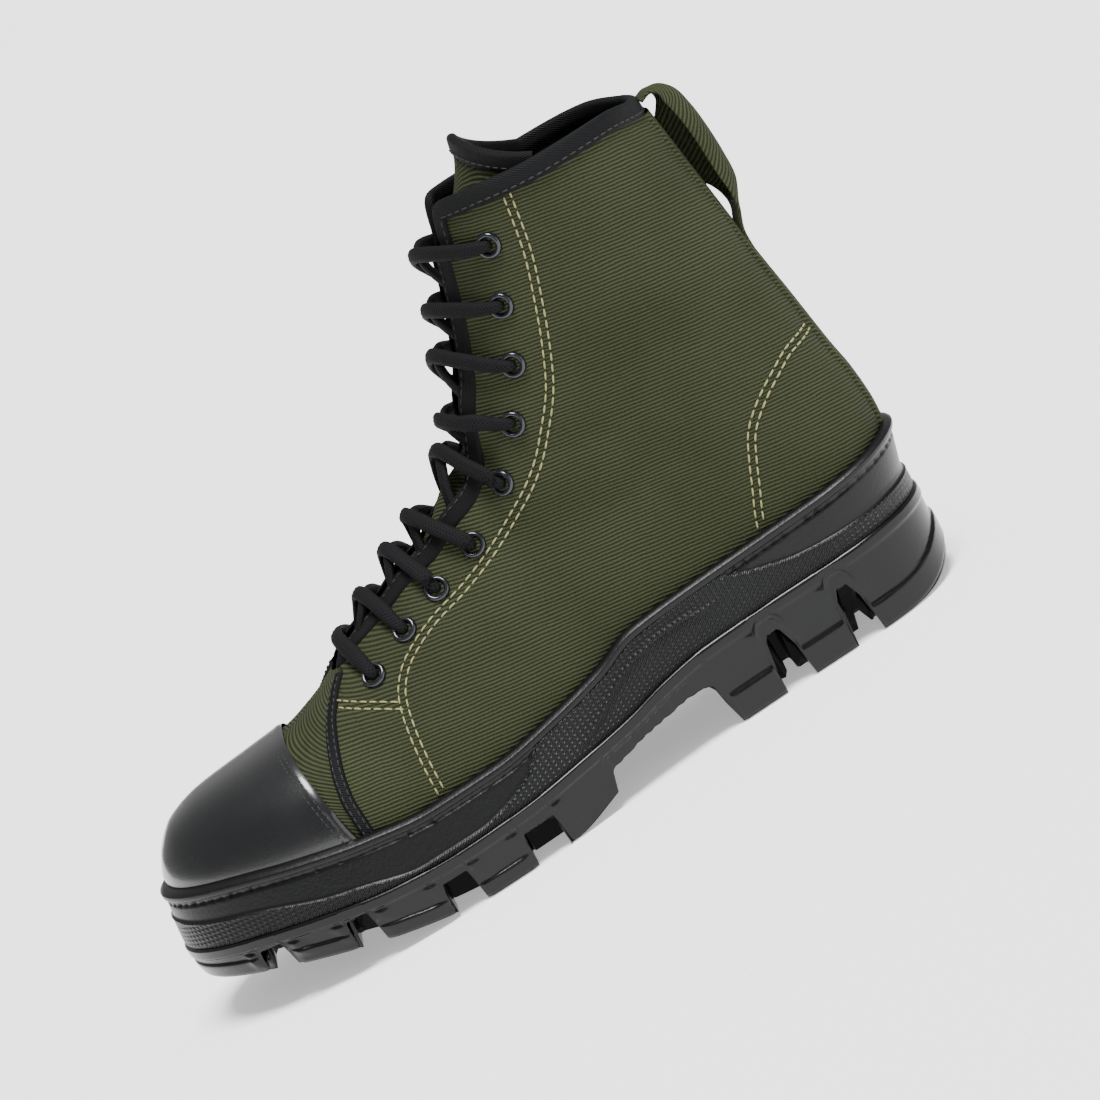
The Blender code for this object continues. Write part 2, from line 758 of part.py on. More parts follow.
overlay = overlay_surface()


def cut_overlay(name, outline, y_from, y_to, look_name, thick=OVERLAY):
    made = outward(shell(name, overlay, GAP, thick, look_name))
    carve(made, outward(tool_of([prism(outline, y_from, y_to)])), "INTERSECT")
    return outward(made)


cap_edge = [(0.787, 0.40), (0.7845, 0.35), (0.778, 0.28), (0.768, 0.20), (0.768, 0.10)]
outline = [(float(place_x(a)), height_of(h)) for a, h in cap_edge]
outline += [(float(place_x(1.2)), height_of(0.10)), (float(place_x(1.2)), height_of(0.40))]
cut_overlay("toe_cap", outline, -CUT_REACH, CUT_REACH, "toe_leather")


def strip(rows, width):
    # Band of a given width about a side-view line.
    line = np.array([(float(place_x(a)), height_of(h)) for a, h in rows])
    ahead = np.gradient(line, axis=0)
    ahead /= np.linalg.norm(ahead, axis=1, keepdims=True)
    across = np.stack([-ahead[:, 1], ahead[:, 0]], axis=1) * width / 2
    return [tuple(p) for p in line + across] + [tuple(p) for p in (line - across)[::-1]]


edge = strip(QUARTER_EDGE["rows"], TAPE_WIDTH)
cut_overlay("quarter_tape_outer", edge, 0.0125, CUT_REACH, "black_tape", TAPE)
cut_overlay("quarter_tape_inner", edge, -CUT_REACH, -0.0155, "black_tape", TAPE)

angle = np.linspace(0.08, np.pi - 0.08, 13)
moon_x = float(place_x(PATCH_MIDDLE))
moon_z = PATCH_FOOT * SOLE_HEIGHT
moon = [(moon_x + PATCH_REACH * np.cos(a), moon_z + PATCH_REACH * np.sin(a)) for a in angle]
cut_overlay("inner_patch", moon, -CUT_REACH, -0.012, "patch_leather")

# Backstay over the back seam.
stay_top = float(collar(place_x(0.0))) - TAPE_WIDTH - 4 * GAP
stay = [
    (HEEL_BACK - 0.032, SOLE_HEIGHT), (HEEL_BACK - 0.032, stay_top - 0.0006),
    (HEEL_BACK + 0.018, stay_top), (HEEL_BACK + 0.018, SOLE_HEIGHT),
]
cut_overlay("backstay", stay, -BACKSTAY_HALF, BACKSTAY_HALF, "black_tape")

# Tape folded over the collar and both facings, in one run.
last_open = int(np.searchsorted(rib_stations(), place_x(0.672)))


def tape_run(grid, side):
    edge = grid[:last_open, -1]
    below = grid[:last_open, -2]
    return edge, below


def folded_tape(name, edge, below, normals, wall, look_name, depth=TAPE_WIDTH):
    down = below - edge
    down /= np.linalg.norm(down, axis=1, keepdims=True)
    normals = normals - down * np.sum(normals * down, axis=1, keepdims=True)
    normals /= np.linalg.norm(normals, axis=1, keepdims=True)
    offsets = (
        (depth, FOLD_GAP), (-FOLD_GAP, FOLD_GAP), (-FOLD_GAP, -wall - FOLD_GAP),
        (depth, -wall - FOLD_GAP), (depth, -wall - FOLD_GAP - TAPE),
        (-FOLD_GAP - TAPE, -wall - FOLD_GAP - TAPE), (-FOLD_GAP - TAPE, FOLD_GAP + TAPE),
        (depth, FOLD_GAP + TAPE),
    )
    rings = [edge + down * d + normals * n for d, n in offsets]
    points = np.stack(rings, axis=1).reshape(-1, 3)
    faces = []
    for i in range(len(edge) - 1):
        for k in range(8):
            a = 8 * i + k
            b = 8 * i + (k + 1) % 8
            faces.append([a, b, b + 8, a + 8])
    for start, flip in ((0, False), (8 * (len(edge) - 1), True)):
        for cap in ((0, 1, 6, 7), (1, 2, 5, 6), (2, 3, 4, 5)):
            ring = [start + k for k in cap]
            faces.append(ring[::-1] if flip else ring)
    return outward(add_object(name, points, faces, look_name))


def skin_normals(points):
    table = upper_surface[0]
    found = []
    for p in points:
        found.append(upper_surface[1][np.argmin(np.sum((table - p) ** 2, axis=1))])
    return np.array(found)


outer_edge, outer_below = tape_run(lateral_grid, 1)
inner_edge, inner_below = tape_run(medial_grid, -1)
edge = np.concatenate([outer_edge[::-1], inner_edge[1:]])
below = np.concatenate([outer_below[::-1], inner_below[1:]])
folded_tape("collar_tape", edge, below, skin_normals(edge), WALL, "black_tape")

# Places over the throat: a ridge station and a distance across give a point on the closed shape.
ridge_x = np.linspace(place_x(0.74), place_x(0.2933), 240)
ridge_line = np.stack([ridge_x, ridge(ridge_x)], axis=1)
ridge_line = ridge_line[ridge_line[:, 1] < height_of(1.11)]
ridge_run = np.concatenate([[0], np.cumsum(np.linalg.norm(np.diff(ridge_line, axis=0), axis=1))])
ridge_ahead = np.gradient(ridge_line, axis=0)
ridge_ahead /= np.linalg.norm(ridge_ahead, axis=1, keepdims=True)


def across_throat(run, y):
    x = np.interp(run, ridge_run, ridge_line[:, 0])
    z = np.interp(run, ridge_run, ridge_line[:, 1])
    tx = np.interp(run, ridge_run, ridge_ahead[:, 0])
    tz = np.interp(run, ridge_run, ridge_ahead[:, 1])
    nx, nz = tz, -tx
    side = 1 if y >= 0 else -1
    inset = np.linspace(0, 0.045, 120)
    width = half(x - nx * inset, z - nz * inset, side)
    width = np.maximum.accumulate(width)
    k = np.interp(abs(y), width, inset)
    return np.array([x - nx * k, float(middle(x)) + y, z - nz * k])


def over_throat(run, y, lift):
    step = 0.001
    along = across_throat(run + step, y) - across_throat(run - step, y)
    over = across_throat(run, y + step) - across_throat(run, y - step)
    normal = np.cross(over, along)
    normal /= np.linalg.norm(normal)
    if normal[0] < 0 and normal[2] < 0:
        normal = -normal
    return across_throat(run, y) + normal * lift, normal


def run_of(x, z):
    return ridge_run[np.argmin((ridge_line[:, 0] - x) ** 2 + (ridge_line[:, 1] - z) ** 2)]


# Tongue: the closed shape's middle, one wall further in, leaning back above the laces.
tongue_runs = np.linspace(0.004, ridge_run[-1] - 0.001, 20)
tongue_across = np.linspace(-1, 1, 9)
grid = []
for run in tongue_runs:
    rise = run / ridge_run[-1]
    half_wide = TONGUE_HALF + TONGUE_SPREAD * ease(rise * 1.4)
    row = []
    for part in tongue_across:
        y = part * half_wide
        drop = TONGUE_DROP * abs(part) ** 1.5 * ease((rise - 0.80) / 0.20)
        p, normal = over_throat(run - drop, y, 0.0)
        p[0] -= TONGUE_LEAN * ease((level_of(p[2]) - 0.90) / 0.18)
        row.append(p)
    grid.append(row)
tongue_grid = np.array(grid)
tongue_mesh = weld(tongue_grid.reshape(-1, 3), grid_faces(20, 9, False), 1e-6)
tongue_surface = arrays_of(tongue_mesh)
if np.sum(tongue_surface[1][:, 0]) < 0:
    tongue_mesh = weld(tongue_grid.reshape(-1, 3), grid_faces(20, 9, True), 1e-6)
    tongue_surface = arrays_of(tongue_mesh)
TONGUE_LIFT = -(WALL + FOLD_GAP + TAPE + TONGUE_CLEAR + TONGUE_WALL)
tongue = outward(shell("tongue", tongue_surface, TONGUE_LIFT, TONGUE_WALL, "canvas"))
top_skin = tongue_surface[0] + tongue_surface[1] * (TONGUE_LIFT + TONGUE_WALL)
last_row = list(range(19 * 9, 20 * 9))
row_before = list(range(18 * 9, 19 * 9))
folded_tape(
    "tongue_tape", top_skin[last_row], top_skin[row_before], tongue_surface[1][last_row],
    TONGUE_WALL, "black_tape", 0.0045,
)

# Laces: a bar under the lowest pair of eyelets, then crossings up the throat.
flat = (
    (-LACE_WIDTH / 2, 0.0), (-LACE_WIDTH / 4, LACE_THICK / 2), (LACE_WIDTH / 4, LACE_THICK / 2),
    (LACE_WIDTH / 2, 0.0), (LACE_WIDTH / 4, -LACE_THICK / 2), (-LACE_WIDTH / 4, -LACE_THICK / 2),
)


def strand(stations):
    path = []
    ups = []
    for run, y, lift in stations:
        p, normal = over_throat(run, y, lift)
        path.append(p)
        ups.append(normal)
    return sweep(path, ups, flat)


eyelet_places = []
for along, height in EYELETS["rows"]:
    x = float(place_x(along))
    z = height_of(height)
    eyelet_places.append((run_of(x, z), float(half(x, z, 1)), float(half(x, z, -1))))

low_run, low_outer, low_inner = eyelet_places[0]
bar = [(low_run, -low_inner + 0.001, LACE_REST)]
bar += [(low_run, y, LACE_REST + 0.0004) for y in np.linspace(-0.014, 0.014, 5)]
bar += [(low_run, low_outer - 0.001, LACE_REST)]
bar_points, bar_faces = strand(bar)
outward(add_object("lace_bar", bar_points, bar_faces, "lace_cord"))

for k in range(8):
    low_run, _, _ = eyelet_places[k]
    high_run, high_outer, high_inner = eyelet_places[k + 1]
    gap = float(half_gap(EYELETS["rows"][k][0]))
    step = high_run - low_run
    strands = []
    for side, reach in ((1, high_outer), (-1, high_inner)):
        stations = [
            (low_run + 0.30 * step, -side * (gap - 0.0060), 0.0010),
            (low_run + 0.62 * step, -side * 0.005, 0.0020),
            (low_run + 0.74 * step, side * 0.001, 0.0026),
            (low_run + 0.92 * step, side * (gap - 0.003), 0.0039),
            (high_run - 0.02 * step, side * (gap + 0.005), LACE_REST),
            (high_run, side * (reach + 0.0005), LACE_REST),
        ]
        points, faces = strand(stations)
        strands.append(outward(add_object("strand", points, faces, "lace_cord")))
    crossing, other = strands
    crossing.name = "lace_crossing_" + str(k + 1)
    carve(crossing, other, "UNION")
    outward(crossing)

# Pull loop: tape from the backstay up, over and back to the collar.
clear = GAP + OVERLAY + GAP + LOOP_TAPE / 2
rows = np.array(LOOP_LINE["rows"])
loop_z = height_of(rows[:, 0])
loop_x = back_of(loop_z) - clear - LOOP_DEPTH * rows[:, 1]
path = np.stack([loop_x, np.zeros(len(rows)), loop_z], axis=1)
turn = np.gradient(path, axis=0)
ups = np.stack([-turn[:, 2], np.zeros(len(path)), turn[:, 0]], axis=1)
# The band is cupped: its edges curl inward where it stands off the boot.
part = np.linspace(-1, 1, 5)
sections = []
for stand in rows[:, 1]:
    curl = -LOOP_CUP * min(stand, 0.9) * part ** 2
    outer = np.stack([part * LOOP_WIDTH / 2, curl + LOOP_TAPE / 2], axis=1)
    inner = np.stack([part * (LOOP_WIDTH / 2 - LOOP_TAPE / 2), curl - LOOP_TAPE / 2], axis=1)
    sections.append(np.concatenate([inner, outer[::-1]]))
points, faces = sweep(path, ups, sections)
outward(add_object("pull_loop", points, faces, "canvas"))
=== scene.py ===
# Left jungle boot: the looks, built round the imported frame.
import math

import bpy
import numpy as np
from mathutils import Matrix, Vector


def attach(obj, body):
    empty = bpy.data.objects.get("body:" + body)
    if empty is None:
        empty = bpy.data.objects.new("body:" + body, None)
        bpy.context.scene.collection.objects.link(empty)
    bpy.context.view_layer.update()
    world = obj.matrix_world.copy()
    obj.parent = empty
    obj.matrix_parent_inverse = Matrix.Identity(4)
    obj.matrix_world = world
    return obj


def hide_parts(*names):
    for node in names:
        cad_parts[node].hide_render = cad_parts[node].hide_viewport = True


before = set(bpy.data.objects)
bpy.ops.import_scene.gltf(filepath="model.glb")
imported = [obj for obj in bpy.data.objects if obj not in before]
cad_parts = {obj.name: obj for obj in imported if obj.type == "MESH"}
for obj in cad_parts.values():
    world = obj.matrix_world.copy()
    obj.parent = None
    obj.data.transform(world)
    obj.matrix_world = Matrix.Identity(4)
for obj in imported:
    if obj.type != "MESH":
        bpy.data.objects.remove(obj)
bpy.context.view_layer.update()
mm = 0.001

# The last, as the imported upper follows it. Heights of the shaft, the sole's heights and the
# half widths are shares of the sizes below, and along is a share of the last's length.
last = {
    "length": 300 * mm,
    "back": -58 * mm,
    "shaftHeight": 200 * mm,
    "soleHeight": 50 * mm,
    "ballHalf": 48 * mm,
    "toeSwing": 8 * mm,
    "toeRound": 75 * mm,
    "backRound": 37 * mm,
    "widestAboveBase": 5 * mm,
    "shinAxis": -5 * mm,
    "shinPull": 7200 * mm * mm,
    "throatEnd": 0.700,
    "wall": 2 * mm,
    "randLip": 4.6 * mm,
    "randFoot": 8.0 * mm,
}
sections = {
    "columns": ("along", "lateral", "medial", "base", "lip", "parting", "foot"),
    "rows": (
        (0.00, 0.70, 0.70, 0.80, 1.13, 0.62, 0.45),
        (0.06, 0.70, 0.70, 0.80, 1.09, 0.62, 0.48),
        (0.20, 0.70, 0.70, 0.79, 1.05, 0.62, 0.60),
        (0.32, 0.73, 0.67, 0.78, 1.03, 0.61, 0.66),
        (0.38, 0.77, 0.65, 0.76, 1.01, 0.57, 0.70),
        (0.44, 0.82, 0.67, 0.71, 0.90, 0.50, 0.76),
        (0.50, 0.88, 0.70, 0.66, 0.83, 0.46, 0.84),
        (0.60, 0.97, 0.81, 0.60, 0.76, 0.41, 0.95),
        (0.68, 1.01, 0.89, 0.59, 0.76, 0.40, 0.98),
        (0.76, 1.02, 0.92, 0.62, 0.82, 0.43, 1.00),
        (0.84, 1.00, 0.93, 0.68, 0.91, 0.50, 1.00),
        (0.92, 0.96, 0.90, 0.75, 1.00, 0.57, 1.00),
        (1.00, 0.91, 0.86, 0.81, 1.06, 0.62, 1.00),
    ),
}
ridgeLine = {
    "columns": ("along", "height"),
    "rows": (
        (0.380, 0.828), (0.398, 0.764), (0.417, 0.696), (0.440, 0.648), (0.478, 0.620),
        (0.527, 0.565), (0.567, 0.539), (0.600, 0.510), (0.653, 0.475), (0.683, 0.451),
        (0.710, 0.427), (0.748, 0.402), (0.788, 0.384), (0.838, 0.377), (0.913, 0.369),
        (0.957, 0.351), (0.984, 0.317), (0.996, 0.287), (1.000, 0.275),
    ),
}
shaftLine = {
    "columns": ("height", "half", "back"),
    "rows": (
        (0.20, 0.70, 0.014), (0.26, 0.70, 0.001), (0.33, 0.69, -0.004), (0.39, 0.68, -0.002),
        (0.44, 0.68, 0.003), (0.56, 0.69, 0.012), (0.66, 0.71, 0.020), (0.80, 0.75, 0.029),
        (1.00, 0.79, 0.042),
    ),
}
collarLine = {
    "columns": ("along", "height"),
    "rows": ((0.04, 0.990), (0.09, 1.010), (0.20, 1.018), (0.26, 1.028), (0.32, 1.035)),
}
throatLine = {
    "columns": ("along", "halfGap"),
    "rows": ((0.30, 0.365), (0.42, 0.355), (0.55, 0.30), (0.66, 0.26)),
}
groundLine = {
    "columns": ("along", "height"),
    "rows": (
        (-0.02, 0.26), (0.000, 0.19), (0.015, 0.12), (0.032, 0.06), (0.056, 0.015), (0.080, 0.0),
        (0.670, 0.0), (0.700, 0.015), (0.783, 0.10), (0.843, 0.18), (0.890, 0.244),
        (0.943, 0.31), (1.000, 0.37),
    ),
}


def hermite(i, t, step, values, lean):
    # Cubic from row i to the next, by their values and slopes.
    start = values[i] * (1 + 2 * t) * (1 - t) ** 2 + lean[i] * step * t * (1 - t) ** 2
    end = values[i + 1] * t * t * (3 - 2 * t) + lean[i + 1] * step * t * t * (t - 1)
    return start + end


def through(xs, ys, at):
    # Smooth curve through the rows that never overshoots them.
    step = np.diff(xs)
    slope = np.diff(ys) / step
    lean = np.zeros(len(xs))
    same = slope[:-1] * slope[1:] > 0
    left = np.where(same, slope[:-1], 1.0)
    right = np.where(same, slope[1:], 1.0)
    first = 2 * step[1:] + step[:-1]
    second = step[1:] + 2 * step[:-1]
    lean[1:-1] = np.where(same, (first + second) / (first / left + second / right), 0.0)
    lean[0] = slope[0]
    lean[-1] = slope[-1]
    at = np.clip(at, xs[0], xs[-1])
    i = np.clip(np.searchsorted(xs, at, side="right") - 1, 0, len(xs) - 2)
    t = (at - xs[i]) / step[i]
    return hermite(i, t, step[i], ys, lean)


def look(table, column, at):
    rows = np.array(table["rows"], float)
    return through(rows[:, 0], rows[:, table["columns"].index(column)], np.asarray(at, float))


def ease(t):
    t = np.clip(t, 0.0, 1.0)
    return t * t * (3 - 2 * t)


def share(x):
    return (x - last["back"]) / last["length"]


def placeX(along):
    return last["back"] + last["length"] * np.asarray(along, float)


def sole(column, x):
    return last["soleHeight"] * look(sections, column, share(x))


def ground(x):
    return last["soleHeight"] * look(groundLine, "height", share(x))


def backOf(z):
    return last["back"] + last["length"] * look(shaftLine, "back", z / last["shaftHeight"])


def middle(x):
    return -last["toeSwing"] * ease((share(x) - 0.50) / 0.50)


def widest(x):
    return sole("base", x) + last["widestAboveBase"]


def ridge(x):
    shin = widest(x) + last["shinPull"] / np.maximum(x - last["shinAxis"], 1e-4)
    foot = last["shaftHeight"] * look(ridgeLine, "height", share(x))
    return shin + (foot - shin) * ease((share(x) - 0.375) / 0.03)


def power(x):
    along = share(x)
    return 2.0 - 0.18 * ease((along - 0.38) / 0.10) + 0.68 * ease((along - 0.62) / 0.20)


def roundEnd(distance, radius, sharp):
    t = np.clip(distance / radius, 0.0, 1.0)
    return (1 - (1 - t) ** sharp) ** (1 / sharp)


def fullHalf(x, z, side):
    along = share(x)
    outline = np.where(side > 0, look(sections, "lateral", along), look(sections, "medial", along))
    shaft = look(shaftLine, "half", z / last["shaftHeight"])
    mix = ease((z - 55 * mm) / (45 * mm)) * (1 - ease((along - 0.46) / 0.22))
    width = last["ballHalf"] * (outline + (shaft - outline) * mix)
    toe = roundEnd(placeX(1.0) - x, last["toeRound"], 2.2)
    back = roundEnd(x - backOf(z), last["backRound"], 2.1)
    return width * toe * back


def half(x, z, side):
    # y = W (1 - t^p)^(1/p), t from 0 at the widest line to 1 at the ridge.
    t = np.clip((z - widest(x)) / (ridge(x) - widest(x)), 0.0, 1.0)
    p = power(x)
    return fullHalf(x, z, side) * (1 - t ** p) ** (1 / p)


def heightAt(x, y, side):
    z = ridge(x)
    p = power(x)
    for _ in range(8):
        z = np.minimum(z, 1.15 * last["shaftHeight"])
        width = np.maximum(fullHalf(x, z, side), 1e-6)
        t = (1 - np.clip(y / width, 0.0, 1.0) ** p) ** (1 / p)
        z = widest(x) + (ridge(x) - widest(x)) * t
    return z


def halfGap(along):
    gap = last["ballHalf"] * look(throatLine, "halfGap", along)
    t = np.clip((along - 0.665) / (last["throatEnd"] - 0.665), 0.0, 1.0)
    return gap * np.sqrt(1 - t * t)


def softMin(a, b, radius):
    return np.minimum(a, b) - radius * np.log1p(np.exp(-np.abs(a - b) / radius))


def collar(x):
    return last["shaftHeight"] * look(collarLine, "height", share(x))


def topLine(x, side, inset=0.0):
    edge = heightAt(x, halfGap(share(x)) + inset, side)
    edge = np.where(x < last["shinAxis"] + 15 * mm, 1.0, edge)
    return softMin(edge, collar(x) - inset, 3.5 * mm)


def runAlong(line):
    return np.concatenate([[0], np.cumsum(np.linalg.norm(np.diff(line, axis=0), axis=1))])


# Side-view lines are written as (along, height of the shaft) and turned into points here.
def sideLine(rows, side, spacing=1.5 * mm):
    line = np.array([(placeX(a), last["shaftHeight"] * h) for a, h in rows], float)
    run = runAlong(line)
    at = np.linspace(0, run[-1], max(8, int(run[-1] / spacing)))
    x = through(run, line[:, 0], at)
    z = through(run, line[:, 1], at)
    return np.stack([x, middle(x) + side * half(x, z, side), z], axis=1)


def unit(v):
    return v / np.maximum(np.linalg.norm(v, axis=-1, keepdims=True), 1e-12)


def normalsAt(points, side):
    # From the half width's own slopes: (-dy/dx, side, -dy/dz).
    x = points[..., 0]
    z = points[..., 2]
    step = 0.4 * mm
    dx = (half(x + step, z, side) - half(x - step, z, side)) / (2 * step)
    dx = dx + side * (middle(x + step) - middle(x - step)) / (2 * step)
    dz = (half(x, z + step, side) - half(x, z - step, side)) / (2 * step)
    return unit(np.stack([-dx, np.full_like(dx, side), -dz], axis=-1))


def resample(line, spacing):
    run = runAlong(line)
    at = np.linspace(0, run[-1], max(3, int(round(run[-1] / spacing)) + 1))
    return np.stack([np.interp(at, run, line[:, k]) for k in range(line.shape[1])], axis=1)


def gridFaces(count, rows, wrapCount=False, wrapRows=False, flip=False):
    i, j = np.meshgrid(
        np.arange(count if wrapCount else count - 1),
        np.arange(rows if wrapRows else rows - 1), indexing="ij",
    )
    ahead = (i + 1) % count
    up = (j + 1) % rows
    quads = np.stack([i * rows + j, ahead * rows + j, ahead * rows + up, i * rows + up], axis=-1)
    quads = quads.reshape(-1, 4)
    return quads[:, ::-1] if flip else quads


def gridNormals(grid):
    return unit(np.cross(np.gradient(grid, axis=0), np.gradient(grid, axis=1)))


def outward(grid, side, rows):
    # Grid normals, turned away from the boot's middle.
    normals = gridNormals(grid)
    return -normals if np.sum(normals[:, rows, 1]) * side < 0 else normals


def tiltedUv(u, v, tilt):
    return np.stack([
        u * math.cos(tilt) + v * math.sin(tilt), v * math.cos(tilt) - u * math.sin(tilt),
    ], axis=-1)


def makePiece(name, points, faces, look_, uv=None, values=None, nodes=(), weld=True):
    # One mesh from whole arrays; equal points are joined so that shading runs across seams.
    points = np.asarray(points, float).reshape(-1, 3)
    faces = np.asarray(faces)
    first = index = np.arange(len(points))
    if weld:
        _, first, index = np.unique(
            np.round(points / 1e-6), axis=0, return_index=True, return_inverse=True,
        )
    kept = points[first]
    mapped = index.reshape(-1)[faces]
    extra = {k: np.asarray(v).reshape(-1)[first] for k, v in (values or {}).items()}
    good = np.array([len(set(f)) >= 3 for f in mapped.tolist()])
    shown = mapped[good]
    flat = []
    corner = []
    starts = []
    for f, source in zip(shown.tolist(), faces[good].tolist()):
        ring = []
        rawRing = []
        for k, raw in zip(f, source):
            if k not in ring:
                ring.append(k)
                rawRing.append(raw)
        starts.append(len(flat))
        flat += ring
        corner += rawRing
    data = bpy.data.meshes.new(name)
    data.vertices.add(len(kept))
    data.vertices.foreach_set("co", kept.ravel())
    data.loops.add(len(flat))
    data.loops.foreach_set("vertex_index", flat)
    data.polygons.add(len(starts))
    data.polygons.foreach_set("loop_start", starts)
    data.update(calc_edges=True)
    data.validate()
    if uv is not None and len(data.loops) == len(corner):
        layer = data.uv_layers.new(name="weave")
        layer.data.foreach_set("uv", np.asarray(uv, float).reshape(-1, 2)[corner].ravel())
    for key, value in extra.items():
        layer = data.attributes.new(key, "FLOAT", "POINT")
        layer.data.foreach_set("value", value.astype(np.float32))
    data.polygons.foreach_set("use_smooth", [True] * len(data.polygons))
    data.materials.append(look_)
    made = bpy.data.objects.new(name, data)
    bpy.context.scene.collection.objects.link(made)
    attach(made, "root")
    if nodes:
        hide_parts(*nodes)
    return made


def joinGrids(name, grids, flips, look_, uvs=None, nodes=(), wrapCount=False):
    # Several grids as one piece.
    faces = []
    shift = 0
    for grid, flip in zip(grids, flips):
        faces.append(gridFaces(grid.shape[0], grid.shape[1], wrapCount, flip=flip) + shift)
        shift += grid.shape[0] * grid.shape[1]
    points = np.concatenate([grid.reshape(-1, 3) for grid in grids])
    uv = None if uvs is None else np.concatenate([part.reshape(-1, 2) for part in uvs])
    makePiece(name, points, np.concatenate(faces), look_, uv=uv, nodes=nodes)


# Materials.
def linear(code):
    # sRGB hex to linear: ((c + 0.055) / 1.055) ^ 2.4, or c / 12.92 near black.
    c = [int(code[k:k + 2], 16) / 255 for k in (1, 3, 5)]
    return tuple(v / 12.92 if v <= 0.04045 else ((v + 0.055) / 1.055) ** 2.4 for v in c) + (1.0,)


def startMaterial(name):
    made = bpy.data.materials.new(name)
    made.use_nodes = True
    made.node_tree.nodes.clear()
    return made, made.node_tree


def plug(tree, socket, value):
    if isinstance(value, bpy.types.NodeSocket):
        tree.links.new(value, socket)
    else:
        socket.default_value = value


def addNode(tree, kind, inputs=None, **settings):
    node = tree.nodes.new("ShaderNode" + kind)
    for key, value in settings.items():
        setattr(node, key, value)
    for key, value in (inputs or {}).items():
        plug(tree, node.inputs[key], value)
    return node


def maths(tree, operation, *values):
    return addNode(tree, "Math", dict(enumerate(values)), operation=operation).outputs[0]


def sine(tree, coordinate, pitch):
    # (1 + sin(2 pi v / pitch)) / 2
    wave = maths(tree, "SINE", maths(tree, "MULTIPLY", coordinate, 2 * math.pi / pitch))
    return maths(tree, "MULTIPLY_ADD", wave, 0.5, 0.5)


def mixColours(tree, amount, first, second):
    made = addNode(tree, "Mix", data_type="RGBA")
    plug(tree, made.inputs[0], amount)
    plug(tree, made.inputs[6], first)
    plug(tree, made.inputs[7], second)
    return made.outputs[2]


def blend(tree, first, second, amount):
    # first + second * amount
    return maths(tree, "MULTIPLY_ADD", second, amount, first)


def spread(tree, value, low, high):
    # The middle of a noise, 0.3 to 0.7, onto low to high.
    return addNode(tree, "MapRange", {0: value, 1: 0.3, 2: 0.7, 3: low, 4: high}).outputs[0]


def finishMaterial(made, colour, rough, height, bumpDepth, **inputs):
    tree = made.node_tree
    shader = addNode(tree, "BsdfPrincipled", {"Base Color": colour, "Roughness": rough})
    for key, value in inputs.items():
        plug(tree, shader.inputs[key.replace("_", " ")], value)
    bump = addNode(tree, "Bump", {"Height": height, "Distance": bumpDepth, "Strength": 1.0})
    tree.links.new(bump.outputs[0], shader.inputs["Normal"])
    out = addNode(tree, "OutputMaterial")
    tree.links.new(shader.outputs[0], out.inputs[0])
    return made


def uvParts(tree):
    source = addNode(tree, "UVMap", uv_map="weave")
    parts = addNode(tree, "SeparateXYZ", {0: source.outputs[0]})
    return source.outputs[0], parts.outputs[0], parts.outputs[1]


def noiseOf(tree, vector, scale, detail=3.0, rough=0.55):
    inputs = {"Vector": vector, "Scale": scale, "Detail": detail, "Roughness": rough}
    return addNode(tree, "TexNoise", inputs).outputs[0]


def objectPlace(tree):
    return addNode(tree, "TexCoord").outputs["Object"]


# Ribbed cotton, pitches in mm.
canvasLook = {
    "light": "#40452f",
    "dark": "#10120a",
    "ribPitch": 1.27,
    "warpPitch": 0.70,
    "ribDepth": 0.22 * mm,
    "cloudTone": (0.86, 1.14),
}


def makeCanvas(name):
    # Gives the eye the fine near-level ribs of the cloth and its slight clouding.
    made, tree = startMaterial(name)
    place, u, v = uvParts(tree)
    drift = noiseOf(tree, place, 0.09, 2.0)
    fleck = noiseOf(tree, place, 1.6, 3.0)
    rib = sine(tree, blend(tree, v, drift, 1.1), canvasLook["ribPitch"])
    warp = sine(tree, blend(tree, u, v, 0.35), canvasLook["warpPitch"])
    amount = blend(tree, blend(tree, -0.12, rib, 0.72), fleck, 0.55)
    body = mixColours(tree, amount, linear(canvasLook["dark"]), linear(canvasLook["light"]))
    cloud = noiseOf(tree, objectPlace(tree), 22.0, 4.0)
    tint = spread(tree, cloud, *canvasLook["cloudTone"])
    body = addNode(tree, "VectorMath", {0: body, 1: tint}, operation="MULTIPLY").outputs[0]
    depth = blend(tree, rib, warp, 0.25)
    return finishMaterial(made, body, 0.85, depth, canvasLook["ribDepth"], Specular_IOR_Level=0.10)


def makeTape(name, light, dark, pitch=0.9):
    # Narrow woven tape: the slanted weave of binding.
    made, tree = startMaterial(name)
    place, u, v = uvParts(tree)
    slant = sine(tree, blend(tree, v, u, 0.6), pitch)
    fleck = noiseOf(tree, place, 1.3, 3.0)
    amount = blend(tree, blend(tree, 0.0, slant, 0.5), fleck, 0.4)
    body = mixColours(tree, amount, linear(dark), linear(light))
    return finishMaterial(made, body, 0.65, slant, 0.14 * mm, Specular_IOR_Level=0.12)


def makeCapLeather(name, light, dark):
    # Polished smooth leather: a deep black with a soft clear shine and faint grain.
    made, tree = startMaterial(name)
    place = objectPlace(tree)
    grain = noiseOf(tree, place, 900.0, 3.0)
    cloud = noiseOf(tree, place, 35.0, 4.0)
    body = mixColours(tree, cloud, linear(dark), linear(light))
    return finishMaterial(
        made, body, spread(tree, cloud, 0.20, 0.30), blend(tree, grain, cloud, 0.6), 0.035 * mm,
        Coat_Weight=0.35, Coat_Roughness=0.12, Specular_IOR_Level=0.55,
    )


